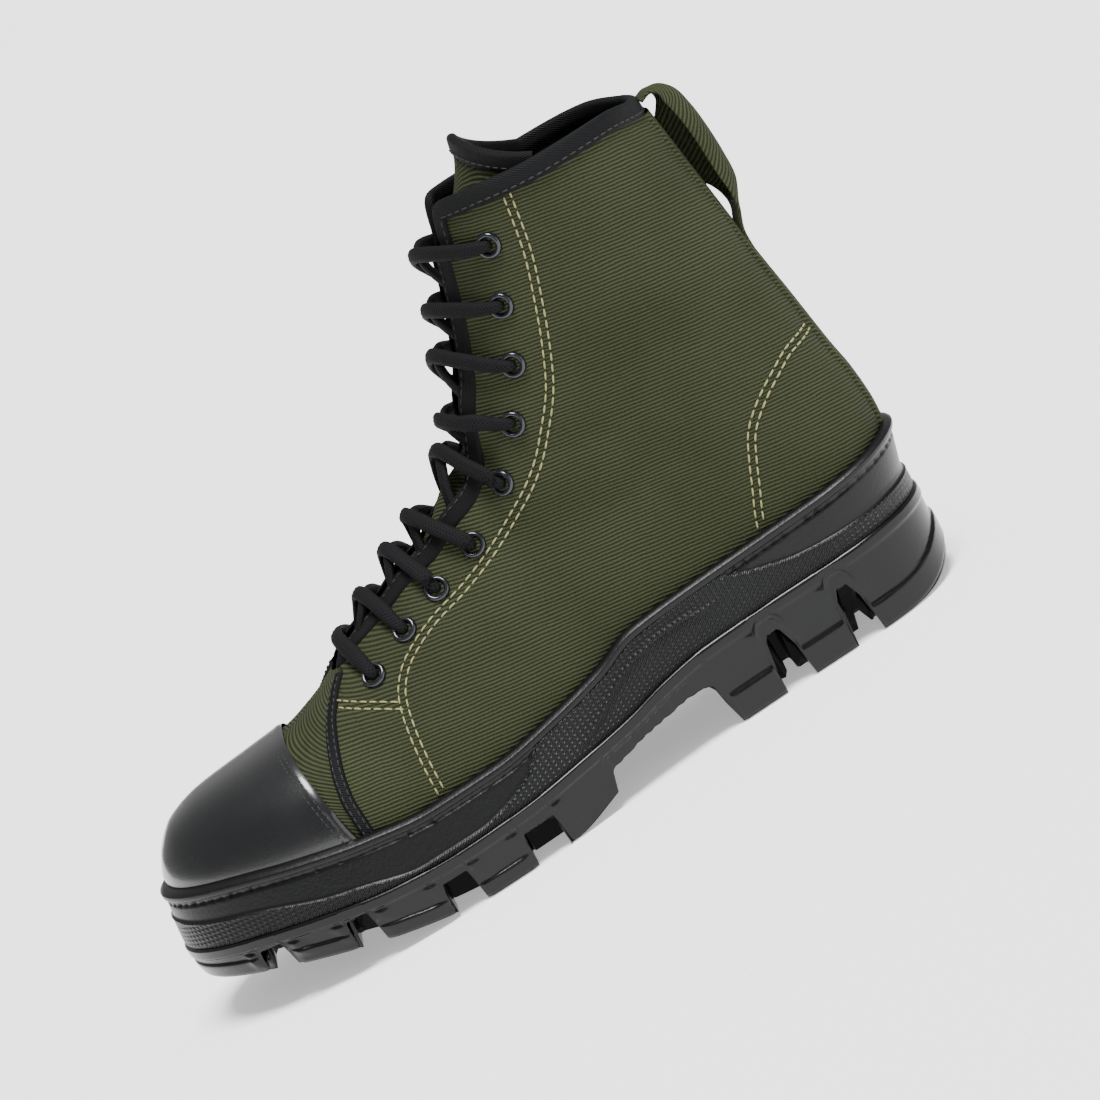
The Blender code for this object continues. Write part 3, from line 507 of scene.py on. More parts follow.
def makePatchLeather(name, light, dark):
    # Pebbled leather: small round grains that glint.
    made, tree = startMaterial(name)
    cells = addNode(tree, "TexVoronoi", {"Vector": objectPlace(tree), "Scale": 780.0}).outputs[0]
    body = mixColours(tree, cells, linear(light), linear(dark))
    return finishMaterial(made, body, 0.34, cells, -0.26 * mm, Specular_IOR_Level=0.38)


def makeRubber(name, light, dark, rough, shine, grainScale, grainDepth, weave=False):
    # Moulded rubber: even dark body, faint bloom, and the woven band where "band" is 1.
    made, tree = startMaterial(name)
    place = objectPlace(tree)
    grain = noiseOf(tree, place, grainScale, 4.0)
    cloud = noiseOf(tree, place, 30.0, 4.0)
    amount = blend(tree, blend(tree, 0.0, cloud, 0.6), grain, 0.4)
    body = mixColours(tree, amount, linear(dark), linear(light))
    height = grain
    if weave:
        band = addNode(tree, "Attribute", attribute_name="band").outputs["Fac"]
        _, u, v = uvParts(tree)
        cross = maths(tree, "MULTIPLY", sine(tree, u, 2.2), sine(tree, v, 1.6))
        slant = sine(tree, blend(tree, u, v, 1.4), 1.1)
        knit = blend(tree, cross, slant, 0.5)
        height = blend(tree, grain, maths(tree, "MULTIPLY", knit, band), 2.4)
    return finishMaterial(made, body, rough, height, grainDepth, Specular_IOR_Level=shine)


def makeCord(name, light, dark):
    # Braided lace: crossed strands round the cord.
    made, tree = startMaterial(name)
    _, u, v = uvParts(tree)
    strands = [sine(tree, blend(tree, u, v, lean), 1.25) for lean in (0.9, -0.9)]
    braid = maths(tree, "MAXIMUM", *strands)
    body = mixColours(tree, braid, linear(dark), linear(light))
    return finishMaterial(made, body, 0.74, braid, 0.16 * mm, Specular_IOR_Level=0.12)


def makeGrained(name, light, dark, rough, scale, detail, depth, **inputs):
    # Thread, enamel, lining and felt: one fine noise for tone and bump.
    made, tree = startMaterial(name)
    grain = noiseOf(tree, objectPlace(tree), scale, detail)
    body = mixColours(tree, grain, dark, light)
    return finishMaterial(made, body, rough, grain, depth, **inputs)


def makeThread(name, light, dark):
    return makeGrained(name, linear(light), linear(dark), 0.65, 1500.0, 2.0, 0.05 * mm)


def makePlain(name, code, rough, **inputs):
    light = tuple(c * 1.25 for c in linear(code)[:3]) + (1.0,)
    return makeGrained(name, light, linear(code), rough, 500.0, 3.0, 0.05 * mm, **inputs)


canvas = makeCanvas("olive ribbed cotton")
tape = makeTape("black binding tape", "#141517", "#050505")
capLeather = makeCapLeather("polished black leather", "#0c0d0f", "#060708")
patchLeather = makePatchLeather("pebbled black leather", "#15171a", "#08090a")
randRubber = makeRubber("matt black rubber", "#0d0e0f", "#070707", 0.36, 0.24, 900.0, 0.12 * mm, True)
treadRubber = makeRubber("tread rubber", "#08090a", "#040404", 0.24, 0.27, 500.0, 0.05 * mm)
cord = makeCord("black braided cord", "#141416", "#050505")
oliveThread = makeThread("olive thread", "#9c9a68", "#6a6843")
blackThread = makeThread("black thread", "#1d1e20", "#101112")
tapeThread = makeThread("black tape thread", "#0d0e0f", "#060606")
enamel = makeGrained(
    "black enamelled brass", linear("#23262f"), linear("#15171d"), 0.22, 300.0, 3.0, 0.02 * mm,
    Metallic=0.55, Coat_Weight=0.5, Coat_Roughness=0.1,
)
lining = makePlain("black lining cloth", "#1a1b1c", 0.95)
insoleCloth = makePlain("insole felt", "#3a3b34", 0.95)
print("materials made")

# Fine ribs round the last: crowded toward the heel's back and the toe.
fine = {"heel": 36, "shin": 84, "toe": 56, "rows": 64}
fineRuns = {
    "columns": ("from", "to", "count"),
    "rows": ((0.25, 0.45, fine["shin"]), (0.45, 0.66, 48), (0.66, 0.70, 16), (0.70, 0.80, 24)),
}


def fineStations():
    start = last["back"] + last["backRound"]
    runs = [
        last["back"] + last["backRound"] * (np.arange(fine["heel"]) / fine["heel"]) ** 2,
        np.linspace(start, placeX(0.25), 24, endpoint=False),
    ]
    for low, high, count in fineRuns["rows"]:
        runs.append(placeX(np.linspace(low, high, count, endpoint=False)))
    runs.append(placeX(1.0 - 0.20 * (np.arange(fine["toe"], -1, -1) / fine["toe"]) ** 2))
    return np.concatenate(runs)


stations = fineStations()
underLip = 7 * mm


def ribX(station, z):
    fade = 1 - ease((station - last["back"]) / (70 * mm))
    return np.minimum(station + (backOf(z) - last["back"]) * fade, placeX(1.0))


def sideGrid(side, rows, chosen=None):
    # Each rib runs from below the rand's lip to the top line, evenly in the arch's angle.
    chosen = stations if chosen is None else chosen
    columns = []
    for station in chosen:
        x = ribX(station, last["soleHeight"])
        low = sole("lip", x) - underLip
        isOpen = share(station) < last["throatEnd"]
        top = float(topLine(x, side)) if isOpen else float(ridge(x))
        span = ridge(x) - widest(x)
        t0 = np.clip((low - widest(x)) / span, 0, 1)
        t1 = np.clip((top - widest(x)) / span, 0, 1)
        z = widest(x) + span * np.sin(np.linspace(np.arcsin(t0), np.arcsin(t1), rows))
        z = np.where(z <= widest(x) + 1e-9, np.linspace(low, top, rows), z)
        z[0] = min(low, top)
        z = np.maximum.accumulate(z)
        xs = ribX(station, z)
        y = half(xs, z, side)
        if not isOpen:
            y[-1] = 0.0
        if station == chosen[0] and chosen is stations:
            y[:] = 0.0
        columns.append(np.stack([xs, middle(xs) + side * y, z], axis=1))
    return np.array(columns)


# Creases: soft troughs (negative) and ridges, each from (along, height) to the next.
creases = {
    "columns": ("from", "through", "to", "height", "reach"),
    "sinkBySeams": 0.35 * mm,
    "seamReach": 2.4 * mm,
    "rows": (
        ((0.30, 0.56), (0.38, 0.60), (0.44, 0.62), -0.9 * mm, 6.0 * mm),
        ((0.22, 0.52), (0.32, 0.50), (0.42, 0.53), 0.7 * mm, 7.0 * mm),
        ((0.27, 0.42), (0.35, 0.44), (0.44, 0.46), -0.6 * mm, 6.0 * mm),
        ((0.06, 0.60), (0.16, 0.62), (0.26, 0.66), -0.6 * mm, 9.0 * mm),
        ((0.04, 0.74), (0.12, 0.72), (0.24, 0.77), 0.5 * mm, 9.0 * mm),
        ((0.50, 0.32), (0.58, 0.36), (0.64, 0.36), -0.5 * mm, 7.0 * mm),
        ((0.60, 0.27), (0.66, 0.32), (0.70, 0.37), 0.5 * mm, 6.0 * mm),
    ),
}
oliveRows = {
    "quarter": (
        (0.228, 1.000), (0.242, 0.900), (0.262, 0.813), (0.282, 0.740), (0.307, 0.667),
        (0.339, 0.608), (0.371, 0.560), (0.419, 0.513), (0.468, 0.477), (0.516, 0.452),
        (0.562, 0.436), (0.594, 0.418), (0.620, 0.396), (0.640, 0.362), (0.650, 0.313),
        (0.657, 0.253), (0.661, 0.190),
    ),
    "vamp": ((0.644, 0.350), (0.672, 0.372), (0.700, 0.392), (0.716, 0.403)),
    "counter": (
        (0.013, 0.501), (0.047, 0.497), (0.080, 0.478), (0.113, 0.450), (0.139, 0.415),
        (0.154, 0.376), (0.170, 0.326), (0.180, 0.296), (0.189, 0.262),
    ),
}


def distanceTo(points, line):
    # Shortest side-view distance from each point to a bent line.
    best = np.full(points.shape[:-1], 1.0)
    p = points[..., [0, 2]]
    for a, b in zip(line[:-1], line[1:]):
        d = b - a
        t = np.clip(((p - a) @ d) / max(d @ d, 1e-12), 0, 1)
        gap = np.linalg.norm(p - (a + t[..., None] * d), axis=-1)
        best = np.minimum(best, gap)
    return best


def creaseDepth(points, side):
    # Sum of height * exp(-(distance / reach)^2) over the creases, less the sink along each seam.
    depth = np.zeros(points.shape[:-1])
    for *line, height, reach in creases["rows"]:
        ends = sideLine(line, side, 4 * mm)[:, [0, 2]]
        depth += height * np.exp(-((distanceTo(points, ends) / reach) ** 2))
    for rows in oliveRows.values():
        line = sideLine(rows, side, 4 * mm)[:, [0, 2]]
        fade = np.exp(-((distanceTo(points, line) / creases["seamReach"]) ** 2))
        depth -= creases["sinkBySeams"] * fade
    return depth


# Upper: two walls of the last's surface, y = middle + side * half(x, z), creased along the listed
# creases.
upper = {"weaveTilt": math.radians(-11), "vampTilt": math.radians(-40), "underTape": 0.7 * mm}
quarterEdge = {
    "columns": ("along", "height"),
    "rows": (
        (0.757, 0.160), (0.757, 0.205), (0.757, 0.255), (0.752, 0.300), (0.742, 0.340),
        (0.727, 0.379), (0.708, 0.410), (0.690, 0.432),
    ),
}


def weaveOf(points, tilt):
    # u runs round the boot, v climbs; both in millimetres.
    flat = np.linalg.norm(np.diff(points[..., :2], axis=0), axis=-1)
    run = np.concatenate([np.zeros((1, points.shape[1])), np.cumsum(flat, axis=0)]) / mm
    high = points[..., 2] / mm
    return np.stack([
        run * math.cos(tilt) + high * math.sin(tilt), high * math.cos(tilt) + run * math.sin(tilt),
    ], axis=-1)


def frontOfQuarter(z):
    rows = np.array(quarterEdge["rows"], float)
    order = np.argsort(rows[:, 1])
    return placeX(np.interp(z / last["shaftHeight"], rows[order, 1], rows[order, 0]))


def buildUpper():
    grids = []
    uvs = []
    for side in (1, -1):
        grid = sideGrid(side, fine["rows"])
        edge = frontOfQuarter(grid[..., 2])
        isVamp = (grid[..., 0] > edge - 1 * mm)[..., None]
        uvs.append(np.where(
            isVamp, weaveOf(grid, upper["vampTilt"]), weaveOf(grid, upper["weaveTilt"]),
        ))
        # The vamp lies under the quarter's tape and the toe cap.
        sink = upper["underTape"] * ease((grid[..., 0] - edge) / (1.2 * mm))
        lift = creaseDepth(grid, side) - sink
        lift[-12:] = -upper["underTape"]
        grids.append(grid + outward(grid, side, slice(10, 30)) * lift[..., None])
    joinGrids("upperCloth", grids, (True, False), canvas, uvs, ("upper",))


def buildLining():
    grids = []
    for side in (1, -1):
        grid = sideGrid(side, 24, stations[::3])
        grids.append(grid - outward(grid, side, slice(5, 12)) * last["wall"])
    joinGrids("upperLining", grids, (False, True), lining)


buildUpper()
buildLining()
print("upper made")

# Toe cap: the same surface lifted by its leather, rolled down at its rear edge.
toeCap = {
    "rise": 1.3 * mm,
    "edgeTop": 0.788,
    "edgeFoot": 0.768,
    "roll": 1.1 * mm,
    "tuck": 0.5 * mm,
    "columns": 90,
    "rows": 56,
    "crestRows": 6,
}


def capEdge(z):
    t = np.clip((z / last["shaftHeight"] - 0.20) / 0.185, 0, 1)
    return placeX(toeCap["edgeFoot"] + (toeCap["edgeTop"] - toeCap["edgeFoot"]) * t ** 0.7)


def buildToeCap():
    grids = []
    t = np.sin(np.linspace(0, math.pi / 2, toeCap["rows"]))
    for side in (1, -1):
        columns = []
        for k in range(toeCap["columns"] + 1):
            part = 1 - (1 - k / toeCap["columns"]) ** 2
            foot = placeX(toeCap["edgeFoot"])
            station = foot + (placeX(1.0) - foot) * part
            low = sole("lip", station) - underLip
            z = np.maximum(widest(station) + (ridge(station) - widest(station)) * t, low)
            z[0] = low
            x = capEdge(z) + (placeX(1.0) - capEdge(z)) * part
            z = np.maximum(widest(x) + (ridge(x) - widest(x)) * t, low)
            y = half(x, z, side)
            y[-1] = 0.0
            columns.append(np.stack([x, middle(x) + side * y, z], axis=1))
        grid = np.array(columns)
        normals = outward(grid, side, slice(5, 30))
        # Both walls share the ridge's own normal at the top, so they meet there.
        ahead = np.gradient(grid[:, -1], axis=0)
        crest = unit(np.stack([-ahead[:, 2], 0 * ahead[:, 2], ahead[:, 0]], axis=1))
        crest[-1] = (1.0, 0.0, 0.0)
        fromTop = toeCap["rows"] - 1 - np.arange(toeCap["rows"])
        near = np.clip(1 - fromTop / toeCap["crestRows"], 0, 1)[None, :, None]
        normals = unit(normals * (1 - near) + crest[:, None] * near)
        rolled = np.clip((grid[..., 0] - capEdge(grid[..., 2])) / toeCap["roll"], 0, 1)
        lift = toeCap["rise"] * np.sqrt(1 - (1 - rolled) ** 2) - toeCap["tuck"] * (rolled < 0.02)
        grids.append(grid + normals * lift[..., None])
    joinGrids("toeCapLeather", grids, (True, False), capLeather, nodes=("toe_cap",))


buildToeCap()
print("toe cap made")

# Notches in the outsole's edge, as shares along the last and of the sole's height.
notches = {
    "columns": ("start", "end", "roof", "flare"),
    "rows": (
        (0.903, 0.927, 0.46, 0.003), (0.803, 0.827, 0.38, 0.003), (0.684, 0.715, 0.26, 0.003),
        (0.570, 0.608, 0.25, 0.003), (0.238, 0.249, 0.43, 0.014), (0.138, 0.149, 0.43, 0.014),
    ),
}
archSteps = (0.323, 0.334, 0.485, 0.493)

# Rings round the foot, outer side forward and inner side back, closer at the notches' walls.
ringLow = 40 * mm


def placeRings():
    walls = list(archSteps)
    for start, end, _, flare in notches["rows"]:
        walls += [start - flare, start, end, end + flare]
    walls = np.array(walls)
    places = np.concatenate([
        last["back"] + 45 * mm * (np.arange(40) / 40) ** 2,
        np.linspace(last["back"] + 45 * mm, placeX(0.78), 90, endpoint=False),
        placeX(1.0 - 0.22 * (np.arange(60, -1, -1) / 60) ** 2),
        placeX(walls - 0.0008), placeX(walls + 0.0008),
    ])
    return np.unique(np.round(places, 6))


ringStations = placeRings()
ringCount = 2 * len(ringStations) - 2


def ringColumn(values):
    return np.concatenate([values, values[-2:0:-1]])


def baseRing(height):
    rows = []
    for side in (1, -1):
        x = ribX(ringStations, height)
        y = fullHalf(x, height, side)
        rows.append(np.stack([x, middle(x) + side * y, np.zeros(len(x))], axis=1))
        rows[-1][0, 1] = 0.0
        rows[-1][-1, 1] = float(middle(x[-1]))
    return np.concatenate([rows[0], rows[1][-2:0:-1]])


ringX = ringColumn(ringStations)
partingRing = sole("parting", ringX)
lipRing = sole("lip", ringX)
footOut = last["randFoot"] * look(sections, "foot", share(ringX))
lowRing = baseRing(np.full(len(ringStations), ringLow))
highRing = baseRing(lipRing[:len(ringStations)])
ahead = np.roll(lowRing, -2, axis=0) - np.roll(lowRing, 2, axis=0)
ringOut = unit(np.stack([-ahead[:, 1], ahead[:, 0], np.zeros(ringCount)], axis=1))
ringOut[0] = (-1, 0, 0)
ringRun = runAlong(lowRing)


def ringAt(z, out):
    rise = np.clip((z - ringLow) / np.maximum(lipRing - ringLow, 2 * mm), 0, 1)[:, None]
    ring = lowRing + (highRing - lowRing) * rise + ringOut * np.reshape(out, (-1, 1))
    ring[:, 2] = z
    return ring


# Rand: depth by level from the parting line to the lip. Over it lie the smooth bead, the sewn
# groove under it, the woven band and the ridge along the waist.
rand = {
    "rows": 110,
    "setIn": 0.9 * mm,
    "bead": 3.8 * mm,
    "beadRise": 1.0 * mm,
    "groove": 5.0 * mm,
    "grooveDeep": 0.9 * mm,
    "dash": 4.2 * mm,
    "dashRise": 0.65 * mm,
    "bandRise": 0.75 * mm,
    "edgeRise": 0.35 * mm,
    "ridgeRise": 0.7 * mm,
    "underRidge": 0.35 * mm,
    "footGroove": 0.5 * mm,
}
bandTop = {
    "columns": ("along", "height"),
    "rows": (
        (-0.05, 0.760), (0.007, 0.756), (0.057, 0.748), (0.133, 0.766), (0.170, 0.788),
        (0.207, 0.84), (0.243, 0.912), (0.265, 1.00), (0.300, 1.20), (0.500, 1.20), (0.560, 0.60),
        (0.607, 0.48), (0.647, 0.44), (0.720, 0.44), (0.793, 0.54), (0.830, 0.588),
        (0.903, 0.72), (0.980, 0.812), (1.020, 0.90),
    ),
}
waistRidge = {
    "columns": ("along", "height"),
    "rows": (
        (0.24, 0.80), (0.30, 0.834), (0.337, 0.856), (0.373, 0.84), (0.41, 0.788), (0.467, 0.612),
        (0.52, 0.48),
    ),
}


def hump(distance, reach):
    return np.exp(-((distance / reach) ** 2))


def randDepth(z, level):
    # Wall + bead - groove + band + ridge, each a function of the height and of the run round.
    along = share(ringX)
    below = lipRing - z
    wall = footOut + (last["randLip"] - footOut) * level - rand["setIn"]
    t = np.clip((below - rand["bead"] / 2) / (rand["bead"] / 2), -1, 1)
    bead = rand["beadRise"] * np.sqrt(1 - t * t)
    sewn = 1 - ease((along - 0.235) / 0.03) + ease((along - 0.52) / 0.05)
    dash = ease((np.sin(2 * math.pi * ringRun / rand["dash"]) + 0.55) * 2.2)
    deep = rand["grooveDeep"] - rand["dashRise"] * dash
    groove = hump(below - rand["groove"], 0.75 * mm) * sewn * deep
    top = last["soleHeight"] * look(bandTop, "height", along)
    isBand = ease((top - z) / (0.9 * mm) + 0.5) * (below > rand["bead"])
    bandEdge = rand["edgeRise"] * hump(top - z, 0.6 * mm) * (below > rand["groove"])
    band = rand["bandRise"] * isBand + bandEdge
    waist = ease((along - 0.27) / 0.04) * (1 - ease((along - 0.47) / 0.05))
    line = last["soleHeight"] * look(waistRidge, "height", along)
    under = rand["underRidge"] * ease((line - z) / (1.5 * mm))
    ridgeLift = waist * (rand["ridgeRise"] * hump(z - line, 1.0 * mm) - under)
    foot = rand["footGroove"] * hump(z - partingRing, 0.9 * mm)
    depth = wall + bead - groove + band + ridgeLift - foot
    return depth * (0.5 + 0.5 * np.sqrt(np.clip(below / (1.4 * mm), 0, 1))), isBand


def buildRand():
    rings = []
    bands = []
    heights = []
    for level in np.linspace(0, 1, rand["rows"]):
        z = partingRing + 0.2 * mm + (lipRing - partingRing - 0.2 * mm) * level
        depth, isBand = randDepth(z, level)
        rings.append(ringAt(z, depth))
        bands.append(isBand)
        heights.append(z)
    for rise, out in ((0.15, 1.4), (-0.4, 0.1), (-6.0, 0.1)):
        rings.append(ringAt(lipRing + rise * mm, np.full(ringCount, out * mm)))
        bands.append(np.zeros(ringCount))
        heights.append(lipRing)
    grid = np.array(rings)
    uv = np.stack([np.broadcast_to(ringRun / mm, grid.shape[:2]), np.array(heights) / mm], axis=-1)
    makePiece(
        "randRubber", grid, gridFaces(grid.shape[0], grid.shape[1], False, True), randRubber,
        uv=uv, values={"band": np.array(bands)}, nodes=("rand",),
    )


buildRand()

# Outsole: side wall from the parting line down to the tread, and the tread as a height over
# the footprint. The arch, edge notches, channels and cross grooves raise that height.
outsole = {
    "wallRows": 46,
    "notchDeep": 20 * mm,
    "channelOut": 21.5 * mm,
    "channelHalf": 2.5 * mm,
    "grooveHalf": 2.0 * mm,
    "channelDeep": 5.5 * mm,
    "ledge": 0.7 * mm,
    "ledgeTall": 3.6 * mm,
    "lean": 1.4 * mm,
    "edgeRound": 1.4 * mm,
    "plateRise": 1.1 * mm,
    "plateBorder": 1.5 * mm,
    "finRise": 1.1 * mm,
    "finOut": 0.012,
    "ribDeep": 1.5 * mm,
    "ribPitch": 4.7 * mm,
    "archRows": (
        (0.323, -0.20), (0.334, 0.34), (0.345, 0.365), (0.370, 0.365), (0.435, 0.32),
        (0.485, 0.26), (0.493, 0.11), (0.530, 0.04), (0.555, 0.0),
    ),
    "columnsInward": (
        0, 0.6, 2, 6, 12, 17, 18.6, 20.2, 22, 23.5, 25, 26.5, 28, 29.5, 31, 32.5, 34, 36, 38,
        41, 44,
    ),
}
lugs = {
    "columns": ("start", "end", "tall"),
    "rows": (
        (0.934, 1.010, 6.5), (0.834, 0.896, 6.5), (0.722, 0.796, 6.0), (0.614, 0.678, 6.0),
        (0.262, 0.323, 11.0), (0.162, 0.225, 11.0), (-0.05, 0.125, 10.0),
    ),
}
crossGrooves = (0.1435, 0.2435, 0.59, 0.70, 0.765, 0.865)


def box(value, start, end, slope):
    return np.clip(np.minimum(value - start, end - value) / slope, 0, 1)


def treadHeight(x, y, fromEdge):
    along = share(x)
    rows = np.array(outsole["archRows"])
    arch = np.interp(along, rows[:, 0], rows[:, 1], left=-1, right=-1)
    low = np.maximum(ground(x), last["soleHeight"] * arch)
    deep = np.clip((outsole["notchDeep"] - fromEdge) / (1.2 * mm), 0, 1)
    for start, end, roof, flare in notches["rows"]:
        # Walls lean out by the flare, so the notch widens toward the floor.
        inNotch = box(along, start - flare, end + flare, max(flare, 0.001))
        rounded = np.sqrt(1 - (1 - inNotch) ** 2)
        low = low + np.maximum(last["soleHeight"] * roof - low, 0) * rounded * deep
    offset = np.abs(y - middle(x)) - outsole["channelOut"]
    channel = box(offset, -outsole["channelHalf"], outsole["channelHalf"], 0.7 * mm)
    channel = channel * box(along, 0.55, 0.93, 0.004)
    inside = np.clip((2 * mm - offset) / (0.7 * mm), 0, 1)
    cross = np.zeros_like(low)
    for place in crossGrooves:
        away = x - placeX(place)
        groove = box(away, -outsole["grooveHalf"], outsole["grooveHalf"], 0.6 * mm)
        cross = np.maximum(cross, groove * inside)
    cut = np.maximum(channel, cross)
    return np.maximum(low, np.where(cut > 0, ground(x) + outsole["channelDeep"] * cut, low))


def wallOut(x, z, top):
    # Ledge under the parting line, then the wall leaning in to the tread's rounded edge. Over
    # it stand the lugs' plates and the fins over the notches; ribs are cut under the waist.
    along = share(x)
    low = ground(x)
    down = top - z
    ledge = outsole["ledge"] * (1 - ease((down - outsole["ledgeTall"]) / (1.0 * mm)))
    ledge = ledge * np.sqrt(np.clip(down / (0.6 * mm), 0, 1))
    lean = np.clip((down - 4 * mm) / np.maximum(top - low - 5.2 * mm, 1 * mm), 0, 1)
    edgeRound = 1 - np.sqrt(np.clip((z - low) / (1.3 * mm), 0, 1))
    plate = np.zeros_like(z)
    for start, end, tall in lugs["rows"]:
        fromEnd = np.minimum(along - start, end - along) * last["length"]
        fromTop = low + tall * mm - z
        near = np.clip(np.minimum(fromEnd, fromTop) / outsole["plateBorder"], 0, 1)
        plate = np.maximum(plate, outsole["plateRise"] * np.sqrt(1 - (1 - near) ** 2))
    fins = np.zeros_like(z)
    for start, end, roof, _ in notches["rows"]:
        high = last["soleHeight"] * roof
        window = ease((top - 4.5 * mm - z) / (2 * mm)) * ease((z - high + 9 * mm) / (4 * mm))
        slant = (z - high) * 0.35
        for place in (start - outsole["finOut"], end + outsole["finOut"]):
            fin = window * hump(x - placeX(place) - slant, 1.5 * mm)
            fins = np.maximum(fins, outsole["finRise"] * fin)
    wave = 0.5 + 0.5 * np.cos(2 * math.pi * (x - placeX(0.36)) / outsole["ribPitch"])
    ribs = box(along, 0.352, 0.49, 0.01) * (1 - ease((wave - 0.25) / 0.3))
    ribs = outsole["ribDeep"] * ribs * ease((down - 5 * mm) / (1 * mm))
    setIn = 0.2 * mm + outsole["lean"] * lean + outsole["edgeRound"] * edgeRound
    return footOut + ledge + plate + fins - ribs - setIn


def buildOutsole():
    top = partingRing - 0.1 * mm
    edgeLow = treadHeight(ringX, np.full(ringCount, 1.0), np.zeros(ringCount))
    rings = [ringAt(top + 0.3 * mm, footOut - inward * mm) for inward in (6, 0.8)]
    for part in np.linspace(0, 1, outsole["wallRows"]):
        z = top + (edgeLow - top) * part
        rings.append(ringAt(z, wallOut(ringX, z, top)))
    wall = np.array(rings)
    count = len(ringStations)
    foot = wall[-1]
    outer = foot[:count]
    inner = np.concatenate([foot[:1], foot[count:][::-1], foot[count - 1:count]])
    width = np.linalg.norm(outer - inner, axis=1)
    squeeze = np.minimum(1.0, width / 2 / (45 * mm))
    steps = np.array(outsole["columnsInward"]) * mm
    tread = []
    for near, far, order in ((outer, inner, steps), (inner, outer, steps[::-1])):
        for step in order:
            inward = step * squeeze
            part = np.where(width > 1e-6, inward / np.maximum(width, 1e-6), 0.0)[:, None]
            p = near + (far - near) * part
            if step > 0:
                p[:, 2] = treadHeight(p[:, 0], p[:, 1], inward)
            tread.append(p)
    tread = np.array(tread)
    wallFaces = gridFaces(wall.shape[0], ringCount, False, True, flip=True)
    treadFaces = gridFaces(tread.shape[0], count) + wall.shape[0] * ringCount
    makePiece(
        "outsoleRubber", np.concatenate([wall.reshape(-1, 3), tread.reshape(-1, 3)]),
        np.concatenate([wallFaces, treadFaces]), treadRubber, nodes=("outsole",),
    )


buildOutsole()
print("rand and outsole made")

# Throat places: a station along the ridge and a distance across give a point and its normal.
ridgeX = np.linspace(placeX(0.76), 28 * mm, 400)
ridgePath = np.stack([ridgeX, ridge(ridgeX)], axis=1)
ridgePath = ridgePath[ridgePath[:, 1] < 225 * mm]
ridgeRun = runAlong(ridgePath)
ridgeAhead = unit(np.gradient(ridgePath, axis=0))


def acrossThroat(run, y):
    x = np.interp(run, ridgeRun, ridgePath[:, 0])
    z = np.interp(run, ridgeRun, ridgePath[:, 1])
    tx = np.interp(run, ridgeRun, ridgeAhead[:, 0])
    tz = np.interp(run, ridgeRun, ridgeAhead[:, 1])
    side = 1 if y >= 0 else -1
    inset = np.linspace(0, 45 * mm, 120)
    width = np.maximum.accumulate(half(x - tz * inset, z + tx * inset, side))
    k = np.interp(abs(y), width, inset)
    return np.array([x - tz * k, float(middle(x)) + y, z + tx * k])


def overThroat(run, y, lift=0.0):
    step = 1 * mm
    along = acrossThroat(run + step, y) - acrossThroat(run - step, y)
    over = acrossThroat(run, y + step) - acrossThroat(run, y - step)
    normal = unit(np.cross(over, along))
    if normal[0] + normal[2] < 0:
        normal = -normal
    return acrossThroat(run, y) + normal * lift, normal


def runOf(x, z):
    return ridgeRun[np.argmin((ridgePath[:, 0] - x) ** 2 + (ridgePath[:, 1] - z) ** 2)]


# Tongue: the closed shape's middle, set in, leaning back above the laces.
tongue = {
    "inset": 4.2 * mm,
    "wall": 2.2 * mm,
    "runs": 90,
    "across": 41,
    "lean": 15 * mm,
    "drop": 12 * mm,
    "half": 20 * mm,
    "spread": 6 * mm,
    "topSpread": 9 * mm,
    "wobble": 0.5 * mm,
    "weaveTilt": math.radians(35),
}


def tongueGrid():
    rows = []
    for run in np.linspace(2 * mm, ridgeRun[-1] - 1 * mm, tongue["runs"]):
        rise = run / ridgeRun[-1]
        halfWide = tongue["half"] + tongue["spread"] * ease(rise * 1.4)
        halfWide = halfWide + tongue["topSpread"] * ease((rise - 0.75) / 0.25)
        height = np.interp(run, ridgeRun, ridgePath[:, 1])
        lean = tongue["lean"] * ease((height - 180 * mm) / (42 * mm))
        row = []
        for part in np.linspace(-1, 1, tongue["across"]):
            drop = tongue["drop"] * abs(part) ** 1.5 * ease((rise - 0.80) / 0.20)
            p, _ = overThroat(run - drop, part * halfWide, -tongue["inset"])
            p[0] -= lean
            row.append(p)
        rows.append(row)
    return np.array(rows)


def buildTongue():
    grid = tongueGrid()
    normals = gridNormals(grid)
    if np.sum(normals[..., 0]) < 0:
        normals = -normals
    wave = np.sin(grid[..., 2] / (9 * mm)) * np.cos(grid[..., 1] / (14 * mm))
    grid = grid + normals * (tongue["wobble"] * wave)[..., None]
    # Outer skin and inner skin, closed round their edges.
    body = np.concatenate([grid, (grid - normals * tongue["wall"])[:, ::-1]], axis=1)
    step = np.linalg.norm(np.diff(body, axis=0), axis=-1)
    run = np.concatenate([np.zeros((1, body.shape[1])), np.cumsum(step, axis=0)]) / mm
    uv = tiltedUv(body[..., 1] / mm, run, tongue["weaveTilt"])
    faces = gridFaces(body.shape[0], body.shape[1], False, True)
    makePiece("tongueCloth", body, faces, canvas, uv=uv, nodes=("tongue",))
    return grid, normals


tongueSkin, tongueNormals = buildTongue()
print("tongue made")


